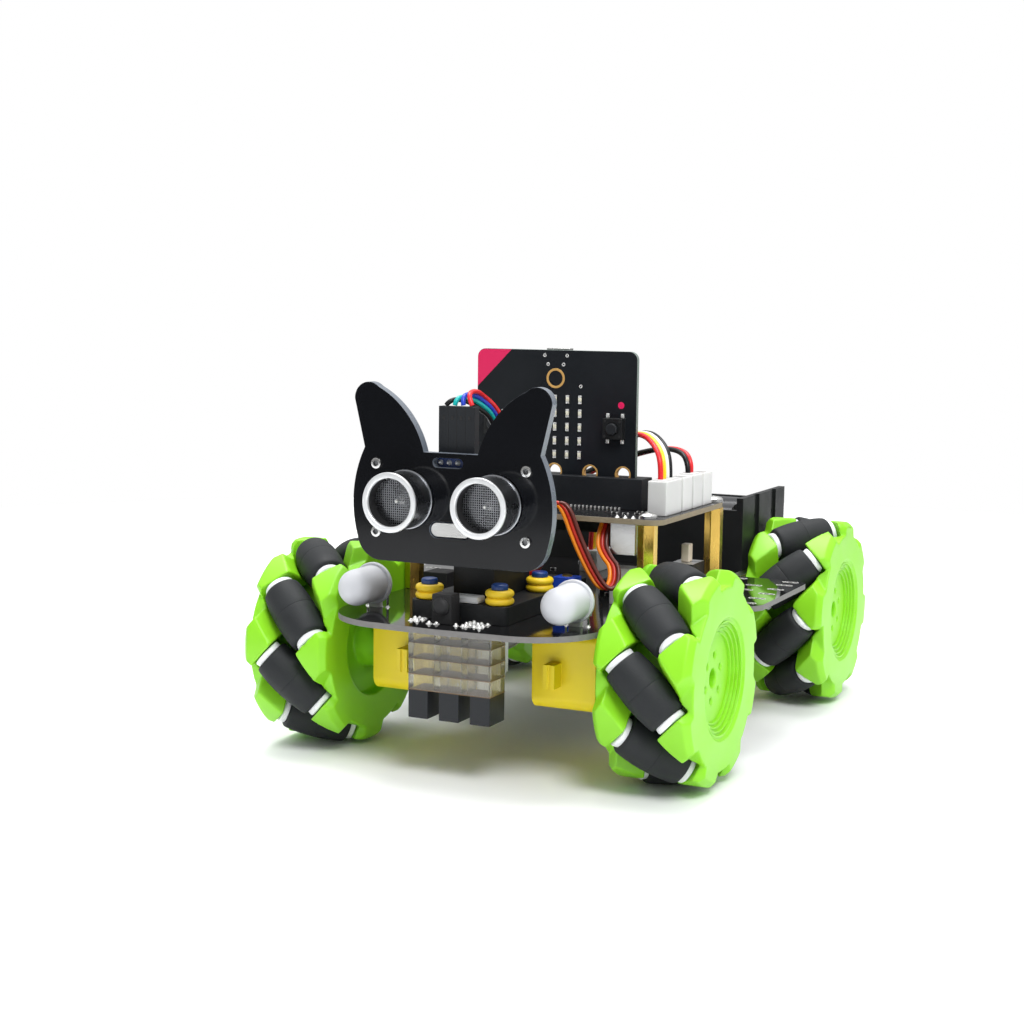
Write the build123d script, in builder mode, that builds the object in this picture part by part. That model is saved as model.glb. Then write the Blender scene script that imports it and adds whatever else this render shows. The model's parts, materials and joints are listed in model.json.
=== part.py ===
"""Four-wheel mecanum robot with a panning cat-face distance sensor.

Millimetres. The origin is on the ground between the wheels, the robot looks along -Y,
+X is its left-hand side and +Z is up.
"""
from build123d import *
from math import cos, radians, sin, sqrt
import os

os.makedirs("parts", exist_ok=True)

# ---- driving dimensions -------------------------------------------------------------
WHEEL_RADIUS = 30.0
AXLE_Z = WHEEL_RADIUS
WHEEL_X = 53.5              # middle plane of a wheel
AXLE_Y = 60.0
HUB_HALF_WIDTH = 13.5
HUB_RADIUS = 28.9           # lobes stop short of the ground

ROLLER_COUNT = 8
ROLLER_RADIUS = 6.2
ROLLER_CENTRE_RADIUS = WHEEL_RADIUS - ROLLER_RADIUS
SLEEVE_HALF = 9.3           # half length of the rubber sleeve
CORE_HALF = 11.0            # half length of the white core with its end flanges
LOBE_START = 11.3           # where the hub lobe faces the core
PIN_RADIUS = 1.0
PIN_HALF = 14.5
CORE_BORE = 1.06            # running fit on the pin
CORE_RADIUS = 2.6
FLANGE_RADIUS = 4.3
DRUM_RADIUS = 16.8

SHAFT_RADIUS = 2.7
SHAFT_BORE = 2.76           # running fit in the gearbox
GEARBOX_X = (15.5, 34.3)
GEARBOX_Y = (34.0, 71.0)
GEARBOX_Z = (18.75, 41.25)
MOTOR_SCREW_Y = 39.5
MOTOR_SCREW_DZ = 8.75

BOARD_Z = 43.5              # top of the base board
BOARD_THICK = 1.6
BOARD_FRONT = -97.0
BOARD_REAR = 100.0
BOARD_HALF = 39.0
WING_HALF = 64.0
WING_Y = (-23.5, 28.0)

DECK_Z = 67.5               # underside of the expansion board
DECK_THICK = 1.6
DECK_HALF = 42.0
DECK_Y = (-45.5, 11.0)
STANDOFFS = [(37.1, -42.0), (39.2, 8.0), (-37.1, -42.0), (-39.2, 8.0)]

CONTROLLER_HALF = 25.8
CONTROLLER_Y = (-23.7, -22.1)
CONTROLLER_Z = (71.5, 114.8)
BUTTON_X = 19.3
BUTTON_Z = 92.4

PAN_Y = -70.0               # servo shaft axis
SERVO_Z = (45.1, 66.0)
PANEL_Y = (-90.0, -87.2)
EYE_X = 13.0
EYE_Z = 76.2
EYE_RADIUS = 8.0
EYE_FRONT = -100.0
HEAD_SCREW = (22.2, 9.2)    # half spacing across and up

CELL_RADIUS = 9.1
CELL_Y = (51.3, 70.7)


def vec(x, y, z):
    return Vector(x, y, z)


def save(node, *builders):
    """Write all the solids of one node, each kept separate, as one STEP file."""
    solids = [solid for builder in builders for solid in builder.part.solids()]
    piece = solids[0] if len(solids) == 1 else Compound(solids)
    piece.label = node
    export_step(piece, f"parts/{node}.step")


def plane_x(x, y=0.0, z=0.0, toward=1):
    """A plane facing +X or -X, its own X along world Y and its own Y up, or mirrored."""
    return Plane(origin=(x, y, z), x_dir=(0, toward, 0), z_dir=(toward, 0, 0))


def plane_y(y, x=0.0, z=0.0):
    """A plane facing forward (-Y), with its own X along world X and its own Y up."""
    return Plane(origin=(x, y, z), x_dir=(1, 0, 0), z_dir=(0, -1, 0))


def plane_z(z, x=0.0, y=0.0):
    return Plane(origin=(x, y, z), x_dir=(1, 0, 0), z_dir=(0, 0, 1))


def span(low, high):
    """Middle and length of a stretch."""
    return (low + high) / 2, high - low


def block(x, y, z, edge=0.0):
    """A box from its three (low, high) stretches, with its upright edges rounded."""
    (mid_x, long_x), (mid_y, long_y) = span(*x), span(*y)
    with BuildPart() as made:
        with BuildSketch(plane_z(z[0], mid_x, mid_y)):
            if edge:
                RectangleRounded(long_x, long_y, edge)
            else:
                Rectangle(long_x, long_y)
        extrude(amount=z[1] - z[0])
    return made


# ---- mecanum wheels -----------------------------------------------------------------
def barrel_radius(along):
    """Radius of a barrel that rolls on the wheel's own cylinder."""
    return WHEEL_RADIUS - sqrt(ROLLER_CENTRE_RADIUS**2 + along**2 / 2)


class RollerFrame:
    """Where one roller sits: its centre, its outward direction and its own axis."""

    def __init__(self, wheel, degrees, slant):
        angle = radians(degrees)
        self.outward = vec(0, -cos(angle), sin(angle))
        around = vec(0, sin(angle), cos(angle))
        self.axis = (vec(1, 0, 0) + around * slant) * (1 / sqrt(2))
        self.centre = wheel + self.outward * ROLLER_CENTRE_RADIUS

    def section(self):
        """Plane through the roller's axis: own X along it, own Y away from the wheel."""
        return Plane(self.centre, x_dir=self.axis, z_dir=self.axis.cross(self.outward))

    def across(self, along, toward):
        """Plane square to the axis, a distance along it, facing one end."""
        facing = self.axis * toward
        return Plane(self.centre + facing * along, x_dir=self.outward, z_dir=facing)

    def line(self):
        return Axis(self.centre, self.axis)


def make_roller(node, place):
    with BuildPart() as sleeve:
        with BuildSketch(place.section()):
            with BuildLine():
                end = barrel_radius(SLEEVE_HALF)
                ThreePointArc((-SLEEVE_HALF, end), (0, ROLLER_RADIUS), (SLEEVE_HALF, end))
                Polyline((SLEEVE_HALF, end), (SLEEVE_HALF, CORE_RADIUS),
                         (-SLEEVE_HALF, CORE_RADIUS), (-SLEEVE_HALF, end))
            make_face()
        revolve(axis=place.line())
    rim = CORE_HALF - 0.4
    with BuildPart() as core:
        with BuildSketch(place.section()):
            with BuildLine():
                Polyline((-CORE_HALF, CORE_BORE), (-CORE_HALF, FLANGE_RADIUS - 0.4), (-rim, FLANGE_RADIUS),
                         (-SLEEVE_HALF, FLANGE_RADIUS), (-SLEEVE_HALF, CORE_RADIUS),
                         (SLEEVE_HALF, CORE_RADIUS), (SLEEVE_HALF, FLANGE_RADIUS), (rim, FLANGE_RADIUS),
                         (CORE_HALF, FLANGE_RADIUS - 0.4), (CORE_HALF, CORE_BORE), close=True)
            make_face()
        revolve(axis=place.line())
    save(node, sleeve, core)


def outer_profile():
    """Half section of the outer hub half: drum, web, stepped dish and blind centre hole."""
    points = [(0, 0), (0, DRUM_RADIUS), (9.0, DRUM_RADIUS), (9.6, 24.8), (HUB_HALF_WIDTH, 24.8)]
    for step in range(5):
        radius = 16.4 - 1.05 * step
        points += [(HUB_HALF_WIDTH - 0.7 * step, radius), (HUB_HALF_WIDTH - 0.7 * (step + 1), radius)]
    floor = HUB_HALF_WIDTH - 3.5
    points += [(floor, 2.5), (floor - 3.4, 2.5), (floor - 3.4, 0)]
    return points


def inner_profile():
    """Half section of the inner hub half: drum, web and the boss that takes the shaft."""
    return [(0, 0), (0, DRUM_RADIUS), (9.0, DRUM_RADIUS), (9.6, 24.8), (HUB_HALF_WIDTH, 24.8),
            (HUB_HALF_WIDTH, 15.6), (10.4, 15.0), (10.4, 7.4), (18.4, 6.8), (18.4, SHAFT_RADIUS),
            (7.8, SHAFT_RADIUS), (7.8, 0)]


def make_half(wheel, rollers, toward, profile):
    """One moulded half of a hub, facing +X or -X, with a lobe at the end of each roller."""
    side = Plane(wheel, x_dir=(toward, 0, 0), z_dir=(0, -toward, 0))
    axle = Axis(wheel, (1, 0, 0))
    with BuildPart() as half:
        for place in rollers:
            with BuildSketch(place.across(LOBE_START, toward)):
                Circle(5.7)
                with Locations((-4.5, 0)):
                    Rectangle(9.0, 11.4)
            extrude(amount=8.6)
        with BuildSketch(side):
            with BuildLine():
                Polyline((0, 0), (0, HUB_RADIUS), (HUB_HALF_WIDTH - 1.6, HUB_RADIUS),
                         (HUB_HALF_WIDTH, HUB_RADIUS - 1.6), (HUB_HALF_WIDTH, 16.4), (9.0, 16.4),
                         (9.0, 0), close=True)
            make_face()
        revolve(axis=axle, mode=Mode.INTERSECT)
        with BuildSketch(side):
            with BuildLine():
                Polyline(*profile, close=True)
            make_face()
        revolve(axis=axle)
        for place in rollers:
            with BuildSketch(place.section()):
                with BuildLine():
                    end = barrel_radius(SLEEVE_HALF) + 0.45
                    ThreePointArc((-SLEEVE_HALF, end), (0, ROLLER_RADIUS + 0.45), (SLEEVE_HALF, end))
                    Polyline((SLEEVE_HALF, end), (LOBE_START, end), (LOBE_START, 0),
                             (-LOBE_START, 0), (-LOBE_START, end), (-SLEEVE_HALF, end))
                make_face()
            revolve(axis=place.line(), mode=Mode.SUBTRACT)
            with BuildSketch(place.across(0, toward)):
                Circle(PIN_RADIUS)
            extrude(amount=PIN_HALF, both=True, mode=Mode.SUBTRACT)
    return half


def make_hub(node, wheel, rollers, side):
    outer = make_half(wheel, rollers, side, outer_profile())
    with BuildPart() as drilled:
        add(outer.part)
        with BuildSketch(plane_x(wheel.X + side * 6.8, wheel.Y, wheel.Z, side)):
            with PolarLocations(6.2, 6, start_angle=20):
                Circle(0.9)
        extrude(amount=6, mode=Mode.SUBTRACT)
    inner = make_half(wheel, rollers, -side, inner_profile())
    with BuildPart() as pins:
        for place in rollers:
            with BuildSketch(place.across(-PIN_HALF, 1)):
                Circle(PIN_RADIUS)
            extrude(amount=2 * PIN_HALF)
    with BuildPart() as shaft:
        with BuildSketch(plane_x(wheel.X - side * 29.5, wheel.Y, wheel.Z, side)):
            Circle(SHAFT_RADIUS)
        extrude(amount=21.7)
    save(node, drilled, inner, pins, shaft)


def make_wheel(name, side, end, slant, phase):
    """A hub and its rollers; side is +1 at +X, end is -1 at the front."""
    wheel = vec(side * WHEEL_X, end * AXLE_Y, AXLE_Z)
    rollers = [RollerFrame(wheel, phase + turn * 360 / ROLLER_COUNT, slant) for turn in range(ROLLER_COUNT)]
    make_hub(f"hub_{name}", wheel, rollers, side)
    for number, place in enumerate(rollers, 1):
        make_roller(f"roller_{name}_{number}", place)


# ---- drive --------------------------------------------------------------------------
def stretch_y(end, low, high):
    """A stretch along Y, measured outwards from the middle of the robot."""
    return tuple(sorted((end * low, end * high)))


def make_gearbox(side, end):
    x = tuple(sorted((side * GEARBOX_X[0], side * GEARBOX_X[1])))
    y = stretch_y(end, *GEARBOX_Y)
    (mid_x, long_x), (mid_y, long_y), (mid_z, long_z) = span(*x), span(*y), span(*GEARBOX_Z)
    with BuildPart() as gearbox:
        with BuildSketch(plane_x(x[0], mid_y, mid_z)):
            RectangleRounded(long_y, long_z, 3.6)
        extrude(amount=long_x)
        with BuildSketch(plane_z(25.5, side * 22.5, end * 73.2)):
            Rectangle(3.4, 4.6)
        extrude(amount=6.6)
        with BuildSketch(plane_z(25.0, side * 22.5, end * 75.6)):
            Circle(0.45)
        extrude(amount=8, mode=Mode.SUBTRACT)
        with BuildSketch(plane_x(side * 23.5, end * AXLE_Y, AXLE_Z, side)):
            Circle(SHAFT_BORE)
        extrude(amount=12, mode=Mode.SUBTRACT)
        with BuildSketch(plane_x(x[0], end * MOTOR_SCREW_Y, AXLE_Z)):
            with Locations((0, MOTOR_SCREW_DZ), (0, -MOTOR_SCREW_DZ)):
                Circle(1.5)
        extrude(amount=long_x, mode=Mode.SUBTRACT)
    return gearbox


def make_can(side, end):
    """The motor can, round with two flats, and its rear cap."""
    mid_x = side * sum(GEARBOX_X) / 2
    low = -34.0 if end < 0 else 9.0
    with BuildPart() as can:
        with BuildSketch(plane_y(low + 25.0, mid_x, AXLE_Z)):
            Circle(10.05)
            Rectangle(15.4, 20.1, mode=Mode.INTERSECT)
        extrude(amount=25.0)
    tip = 9.0 if end > 0 else -9.0
    with BuildPart() as cap:
        with BuildSketch(plane_y(max(tip, tip - end * 2.4), mid_x, AXLE_Z)):
            Circle(5.0)
        extrude(amount=2.4)
    return can, cap


def make_drive():
    motors = []
    brackets = []
    for side in (1, -1):
        for end in (-1, 1):
            motors += [make_gearbox(side, end), *make_can(side, end)]
            x = tuple(sorted((side * 10.5, side * GEARBOX_X[0])))
            y = stretch_y(end, 32.0, 47.0)
            mid_y = span(*y)[0]
            with BuildPart() as bracket:
                with BuildSketch(plane_z(18.9, span(*x)[0], mid_y)):
                    Rectangle(5.0, 15.0)
                extrude(amount=BOARD_Z - BOARD_THICK - 18.9)
                with BuildSketch(plane_x(x[0], mid_y, AXLE_Z)):
                    with Locations((0, MOTOR_SCREW_DZ), (0, -MOTOR_SCREW_DZ)):
                        Circle(1.5)
                extrude(amount=5.0, mode=Mode.SUBTRACT)
            brackets.append(bracket)
            for drop in (MOTOR_SCREW_DZ, -MOTOR_SCREW_DZ):
                with BuildPart() as screw:
                    with BuildSketch(plane_x(side * 10.5, mid_y, AXLE_Z + drop, side)):
                        Circle(1.5)
                    extrude(amount=23.8)
                    with BuildSketch(plane_x(side * 8.7, mid_y, AXLE_Z + drop, side)):
                        Circle(2.75)
                    extrude(amount=1.8)
                brackets.append(screw)
    save("gear_motors", *motors)
    save("motor_brackets", *brackets)


# ---- base board ---------------------------------------------------------------------
def half_outline():
    """Right-hand half of the base board's edge, from the front middle to the rear middle."""
    front = BOARD_FRONT
    Line((0, front - 1), (18, front))
    ThreePointArc((18, front), (33.6, front + 6.6), (BOARD_HALF, front + 22))
    Polyline((BOARD_HALF, front + 22), (BOARD_HALF, WING_Y[0]), (WING_HALF - 5, WING_Y[0]))
    ThreePointArc((WING_HALF - 5, WING_Y[0]), (WING_HALF - 1.5, WING_Y[0] + 1.5), (WING_HALF, WING_Y[0] + 5))
    Line((WING_HALF, WING_Y[0] + 5), (WING_HALF, WING_Y[1] - 5))
    ThreePointArc((WING_HALF, WING_Y[1] - 5), (WING_HALF - 1.5, WING_Y[1] - 1.5), (WING_HALF - 5, WING_Y[1]))
    Polyline((WING_HALF - 5, WING_Y[1]), (BOARD_HALF - 1, WING_Y[1]), (BOARD_HALF - 1, BOARD_REAR - 12))
    ThreePointArc((BOARD_HALF - 1, BOARD_REAR - 12), (BOARD_HALF - 4.5, BOARD_REAR - 3.5),
                  (BOARD_HALF - 13, BOARD_REAR))
    Polyline((BOARD_HALF - 13, BOARD_REAR), (0, BOARD_REAR), (0, front - 1))


def make_base_board():
    with BuildPart() as base_board:
        with BuildSketch(plane_z(BOARD_Z - BOARD_THICK)):
            with BuildLine():
                half_outline()
            make_face()
            mirror(about=Plane.YZ)
            slot_rows = [(42.5, y) for y in (-18, -9, 0, 18, 24.5)]
            slot_rows += [(59.0, y) for y in (-18, -9, 0, 9, 18, 24.5)]
            slot_rows += [(50.8, y) for y in (-13.5, -4.5, 4.5, 13.5)]
            with Locations(*slot_rows, *[(-x, y) for x, y in slot_rows]):
                SlotOverall(4.6, 1.3, mode=Mode.SUBTRACT)
            with Locations(*STANDOFFS):
                Circle(1.5, mode=Mode.SUBTRACT)
            with Locations((28.0, 91.5), (-28.0, 91.5)):
                Circle(1.6, mode=Mode.SUBTRACT)
        extrude(amount=BOARD_THICK)
    save("base_board", base_board)


def make_line_sensor():
    """Clear spacer layers under the front edge, with three reflective sensors below."""
    layers = []
    for level in range(4):
        top = BOARD_Z - BOARD_THICK - 4.25 * level
        with BuildPart() as layer:
            with BuildSketch(plane_z(top - 4.25)):
                with Locations((0, -85.6)):
                    Rectangle(24.6, 9.0)
                for middle in (-8.2, 0, 8.2):
                    with Locations((middle, -85.6)):
                        Rectangle(6.4, 5.6, mode=Mode.SUBTRACT)
            extrude(amount=4.25)
        layers.append(layer)
    low = BOARD_Z - BOARD_THICK - 17.0
    for middle in (-9.3, 0.0, 9.3):
        layers.append(block((middle - 2.95, middle + 2.95), (-90.1, -81.1), (low - 7.8, low)))
    save("line_sensor", *layers)


def make_headlights():
    """Two diffused domes lying along Y, each on a small upright carrier."""
    pieces = []
    for x in (30.5, -30.5):
        with BuildPart() as dome:
            with BuildSketch(plane_y(-77.0, x, 50.5)):
                Circle(5.0)
            extrude(amount=14.5)
            fillet(dome.edges().group_by(Axis.Y)[0], 4.7)
            with BuildSketch(plane_y(-77.0, x, 50.5)):
                Circle(5.8)
            extrude(amount=1.2)
        carrier = block((x - 1.8, x + 1.8), (-77.0, -75.4), (BOARD_Z, 52.5))
        pieces += [dome, carrier]
    save("headlights", *pieces)


def make_base_components():
    """Parts soldered to the base board: infrared receiver, capacitor, chips and sockets."""
    with BuildPart() as receiver:
        with BuildSketch(plane_z(BOARD_Z, -1.9, -88.4)):
            Rectangle(5.8, 5.0)
        extrude(amount=8.0)
        with BuildSketch(plane_y(-90.9, -1.9, 48.4)):
            Circle(2.5)
        extrude(amount=0.9)
    with BuildPart() as can:
        with BuildSketch(plane_z(BOARD_Z, 34.0, -50.0)):
            RectangleRounded(5.2, 5.2, 0.6)
        extrude(amount=0.9)
        with BuildSketch(plane_z(BOARD_Z, 34.0, -50.0)):
            Circle(2.5)
        extrude(amount=5.6)
        fillet(can.edges().group_by(Axis.Z)[-1], 0.5)
    pieces = [
        receiver,
        can,
        block((11.0, 17.5), (-48.0, -42.5), (BOARD_Z, 51.5)),
        block((25.0, 32.6), (-40.0, -33.0), (BOARD_Z, 54.0)),
        block((-33.0, -25.0), (-44.0, -36.0), (BOARD_Z, 49.0)),
        block((30.5, 38.0), (-6.6, 4.0), (BOARD_Z, 51.5)),
        block((12.0, 26.0), (-16.0, -2.0), (BOARD_Z, 46.2)),
        block((-12.0, 6.0), (-22.0, -12.0), (BOARD_Z, 46.0)),
        block((-34.0, -22.0), (-12.0, 0.0), (BOARD_Z, 49.5)),
        block((-7.0, -1.0), (12.4, 23.6), (BOARD_Z, 50.5)),
    ]
    save("base_components", *pieces)


def make_power_switch():
    knob = block((32.9, 35.5), (-3.0, 0.2), (51.55, 57.0), 0.4)
    save("power_switch", knob)


# ---- upper deck ---------------------------------------------------------------------
def make_standoffs():
    posts = []
    for x, y in STANDOFFS:
        with BuildPart() as post:
            with BuildSketch(plane_z(BOARD_Z, x, y)):
                RegularPolygon(2.5, 6, major_radius=False, rotation=30)
            extrude(amount=DECK_Z - BOARD_Z)
            with BuildSketch(plane_z(BOARD_Z - BOARD_THICK, x, y)):
                Circle(1.5)
            extrude(amount=BOARD_THICK)
            with BuildSketch(plane_z(BOARD_Z - BOARD_THICK - 1.5, x, y)):
                Circle(2.6)
            extrude(amount=1.5)
        posts.append(post)
        with BuildPart() as screw:
            with BuildSketch(plane_z(DECK_Z, x, y)):
                Circle(1.5)
            extrude(amount=DECK_THICK)
            with BuildSketch(plane_z(DECK_Z + DECK_THICK, x, y)):
                Circle(2.75)
            extrude(amount=1.8)
            with BuildSketch(plane_z(DECK_Z + DECK_THICK + 0.8, x, y)):
                Rectangle(3.6, 0.8)
                Rectangle(0.8, 3.6)
            extrude(amount=1.0, mode=Mode.SUBTRACT)
        posts.append(screw)
    save("standoffs", *posts)


def make_expansion_board():
    (mid_y, long_y) = span(*DECK_Y)
    with BuildPart() as board:
        with BuildSketch(plane_z(DECK_Z, 0, mid_y)):
            RectangleRounded(2 * DECK_HALF, long_y, 4.0)
        extrude(amount=DECK_THICK)
        with BuildSketch(plane_z(DECK_Z)):
            with Locations(*STANDOFFS):
                Circle(1.5)
        extrude(amount=DECK_THICK, mode=Mode.SUBTRACT)
    low = DECK_Z
    hanging = [block((26.5, 34.0), (-43.5, -37.5), (low - 9.0, low)),
               block((-20.0, 20.0), (-6.0, -1.0), (low - 8.5, low)),
               block((-26.0, -12.0), (-38.0, -32.0), (low - 7.0, low))]
    save("expansion_board", board, *hanging)


SOCKET_Y = [(-35.2, -22.8), (-21.4, -14.0), (-12.6, -5.2), (-3.8, 3.6)]


def make_connectors():
    """The controller's edge socket, the lead sockets and the sensor header."""
    top = DECK_Z + DECK_THICK
    (mid_y, long_y) = (-22.9, 8.4)
    with BuildPart() as edge:
        with BuildSketch(plane_z(top, 0, mid_y)):
            Rectangle(58.4, long_y)
        extrude(amount=9.2)
        with BuildSketch(plane_z(CONTROLLER_Z[0], 0, mid_y)):
            Rectangle(2 * CONTROLLER_HALF, CONTROLLER_Y[1] - CONTROLLER_Y[0])
        extrude(amount=20, mode=Mode.SUBTRACT)
    pieces = [edge]
    for y in SOCKET_Y:
        with BuildPart() as socket:
            with BuildSketch(plane_z(top, 37.1, span(*y)[0])):
                RectangleRounded(5.8, y[1] - y[0], 0.4)
            extrude(amount=9.8)
            with BuildSketch(plane_z(top + 1.6, 37.1, span(*y)[0])):
                Rectangle(4.2, y[1] - y[0] - 1.6)
            extrude(amount=9.8, mode=Mode.SUBTRACT)
        pieces.append(socket)
    for index in (0, 2):
        y = SOCKET_Y[index]
        with BuildPart() as plug:
            with BuildSketch(plane_z(top + 1.6, 37.1, span(*y)[0])):
                Rectangle(4.2, y[1] - y[0] - 1.6)
            extrude(amount=8.6)
        pieces.append(plug)
    pieces.append(block((-7.1, 3.1), (-43.2, -40.7), (top, top + 8.5)))
    save("board_connectors", *pieces)


def make_controller():
    (mid_y, thick) = span(*CONTROLLER_Y)
    with BuildPart() as board:
        with BuildSketch(plane_y(CONTROLLER_Y[1], 0, span(*CONTROLLER_Z)[0])):
            RectangleRounded(2 * CONTROLLER_HALF, CONTROLLER_Z[1] - CONTROLLER_Z[0], 2.5)
        extrude(amount=thick)
        with BuildSketch(plane_y(CONTROLLER_Y[1], 0, 79.0)):
            with Locations((-21.9, 0), (-11.5, 0), (0, 0), (11.5, 0), (21.9, 0)):
                Circle(2.0)
        extrude(amount=thick, mode=Mode.SUBTRACT)
        with BuildSketch(plane_y(CONTROLLER_Y[1], 0, BUTTON_Z)):
            with Locations((BUTTON_X, 0), (-BUTTON_X, 0)):
                Rectangle(6.0, 6.0)
        extrude(amount=thick + 2.6)
        with BuildSketch(plane_y(CONTROLLER_Y[0] - 3.5, 0, BUTTON_Z)):
            with Locations((BUTTON_X, 0), (-BUTTON_X, 0)):
                Circle(1.78)
        extrude(amount=-2.5, mode=Mode.SUBTRACT)
    pieces = [board]
    back = CONTROLLER_Y[1]
    pieces.append(block((-3.75, 3.75), (back, back + 2.6), (109.4, CONTROLLER_Z[1] + 0.5)))
    pieces.append(block((9.0, 15.0), (back, back + 5.8), (107.0, 113.5)))
    pieces.append(block((-6.0, 2.0), (back, back + 1.0), (90.0, 98.0)))
    pieces.append(block((-18.0, -13.0), (back, back + 1.0), (98.0, 103.0)))
    save("controller_board", *pieces)


def make_button(node, x):
    with BuildPart() as button:
        with BuildSketch(plane_y(CONTROLLER_Y[0] - 1.4, x, BUTTON_Z)):
            Circle(1.7)
        extrude(amount=2.1)
    save(node, button)


# ---- battery pack -------------------------------------------------------------------
BATTERY_Y = (38.5, 83.5)
HOLDER_GROOVE_Y = (53.0, 71.0)


def make_battery_pack():
    low, high = BATTERY_Y
    middle = (low + high) / 2
    with BuildPart() as holder:
        with BuildSketch(plane_z(BOARD_Z, 0, middle)):
            Rectangle(77.0, high - low)
        extrude(amount=2.0)
        with BuildSketch(plane_z(BOARD_Z + 2.0, 0, middle)):
            Rectangle(77.0, high - low)
            Rectangle(72.6, high - low - 3.6, mode=Mode.SUBTRACT)
        extrude(amount=17.5)
        with BuildSketch(plane_z(BOARD_Z + 19.5)):
            with Locations((37.4, middle), (-37.4, middle)):
                Rectangle(2.2, high - low)
        extrude(amount=4.0)
        with BuildSketch(plane_z(BOARD_Z + 3.0)):
            with Locations(*[(x, y) for x in (38.5, -38.5) for y in HOLDER_GROOVE_Y]):
                Rectangle(1.8, 5.0)
        extrude(amount=25.0, mode=Mode.SUBTRACT)
        with BuildSketch(plane_x(-40.0, 0, BOARD_Z + 16.0)):
            with Locations(*[(y, 0) for y in HOLDER_GROOVE_Y]):
                Circle(1.2)
        extrude(amount=80.0, mode=Mode.SUBTRACT)
        with BuildSketch(plane_z(BOARD_Z + 2.0, 0, middle)):
            Rectangle(72.6, 1.6)
        extrude(amount=8.0)
    cells = []
    for y in CELL_Y:
        with BuildPart() as cell:
            with BuildSketch(plane_x(-33.2, y, BOARD_Z + 2.0 + CELL_RADIUS)):
                Circle(CELL_RADIUS)
            extrude(amount=65.2)
            with BuildSketch(plane_x(32.0, y, BOARD_Z + 2.0 + CELL_RADIUS)):
                Circle(3.2)
            extrude(amount=1.6)
        cells.append(cell)
    save("battery_pack", holder, *cells)


# ---- head ---------------------------------------------------------------------------
def make_servo():
    """Servo standing on its mounting plate, with the output shaft up."""
    with BuildPart() as case:
        with BuildSketch(plane_z(SERVO_Z[0], 0, -64.6)):
            Rectangle(12.2, 22.8)
        extrude(amount=SERVO_Z[1] - SERVO_Z[0])
        with BuildSketch(plane_z(59.8, 0, -64.6)):
            Rectangle(12.2, 32.2)
            with Locations((0, 13.9), (0, -13.9)):
                Circle(1.1, mode=Mode.SUBTRACT)
        extrude(amount=2.4)
        with BuildSketch(plane_z(SERVO_Z[1], 0, PAN_Y)):
            Circle(5.9)
        extrude(amount=3.0)
    with BuildPart() as bored:
        add(case.part)
        with BuildSketch(plane_z(SERVO_Z[1] - 3.0, 0, PAN_Y)):
            Circle(2.36)
        extrude(amount=8.0, mode=Mode.SUBTRACT)
    save("servo", bored)


def make_servo_mount():
    """Black mounting plate with four two-ring rubber grommets and their blue caps."""
    with BuildPart() as plate:
        with BuildSketch(plane_z(BOARD_Z, 0, -68.5)):
            RectangleRounded(29.0, 34.0, 2.0)
        extrude(amount=5.0)
        with BuildSketch(plane_z(SERVO_Z[0], 0, -64.6)):
            Rectangle(12.4, 23.0)
        extrude(amount=8.0, mode=Mode.SUBTRACT)
    pieces = [plate]
    top = BOARD_Z + 5.0
    for x in (10.6, -10.6):
        for y in (-81.4, -56.0):
            with BuildPart() as grommet:
                with BuildSketch(Plane(origin=(x, y, top), x_dir=(1, 0, 0), z_dir=(0, -1, 0))):
                    with BuildLine():
                        Polyline((0, 0), (3.1, 0))
                        ThreePointArc((3.1, 0), (3.9, 1.0), (3.0, 2.0))
                        ThreePointArc((3.0, 2.0), (3.9, 3.0), (3.1, 4.0))
                        Polyline((3.1, 4.0), (0, 4.0), (0, 0))
                    make_face()
                revolve(axis=Axis((x, y, top), (0, 0, 1)))
            pieces.append(grommet)
            with BuildPart() as cap:
                with BuildSketch(plane_z(top + 4.0, x, y)):
                    Circle(2.3)
                extrude(amount=1.6)
                fillet(cap.edges().group_by(Axis.Z)[-1], 0.7)
            pieces.append(cap)
    save("servo_mount", *pieces)


def panel_side():
    """One half of the cat face, from the middle of its top edge round to its bottom edge."""
    Line((0, 89.0), (8.0, 89.0))
    ThreePointArc((8.0, 89.0), (13.4, 99.4), (21.8, 105.9))
    ThreePointArc((21.8, 105.9), (27.4, 106.2), (29.1, 102.6))
    Line((29.1, 102.6), (26.0, 89.6))
    ThreePointArc((26.0, 89.6), (29.5, 77.0), (28.2, 65.4))
    ThreePointArc((28.2, 65.4), (26.0, 61.2), (21.7, 59.2))
    Polyline((21.7, 59.2), (0, 59.2), (0, 89.0))


def make_face_panel():
    with BuildPart() as panel:
        with BuildSketch(plane_y(PANEL_Y[1])):
            with BuildLine():
                panel_side()
            make_face()
            mirror(about=Plane.YZ)
            with Locations((EYE_X, EYE_Z), (-EYE_X, EYE_Z)):
                Circle(EYE_RADIUS + 0.1, mode=Mode.SUBTRACT)
            with Locations((-0.8, 86.4)):
                SlotOverall(9.0, 2.6, mode=Mode.SUBTRACT)
            with Locations((0, 68.6)):
                SlotOverall(12.4, 4.4, mode=Mode.SUBTRACT)
            with Locations(*head_screw_places()):
                Circle(0.8, mode=Mode.SUBTRACT)
        extrude(amount=PANEL_Y[1] - PANEL_Y[0])
    save("face_panel", panel)


def head_screw_places():
    across, up = HEAD_SCREW
    return [(x, EYE_Z + z) for x in (across, -across) for z in (up, -up)]


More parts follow.
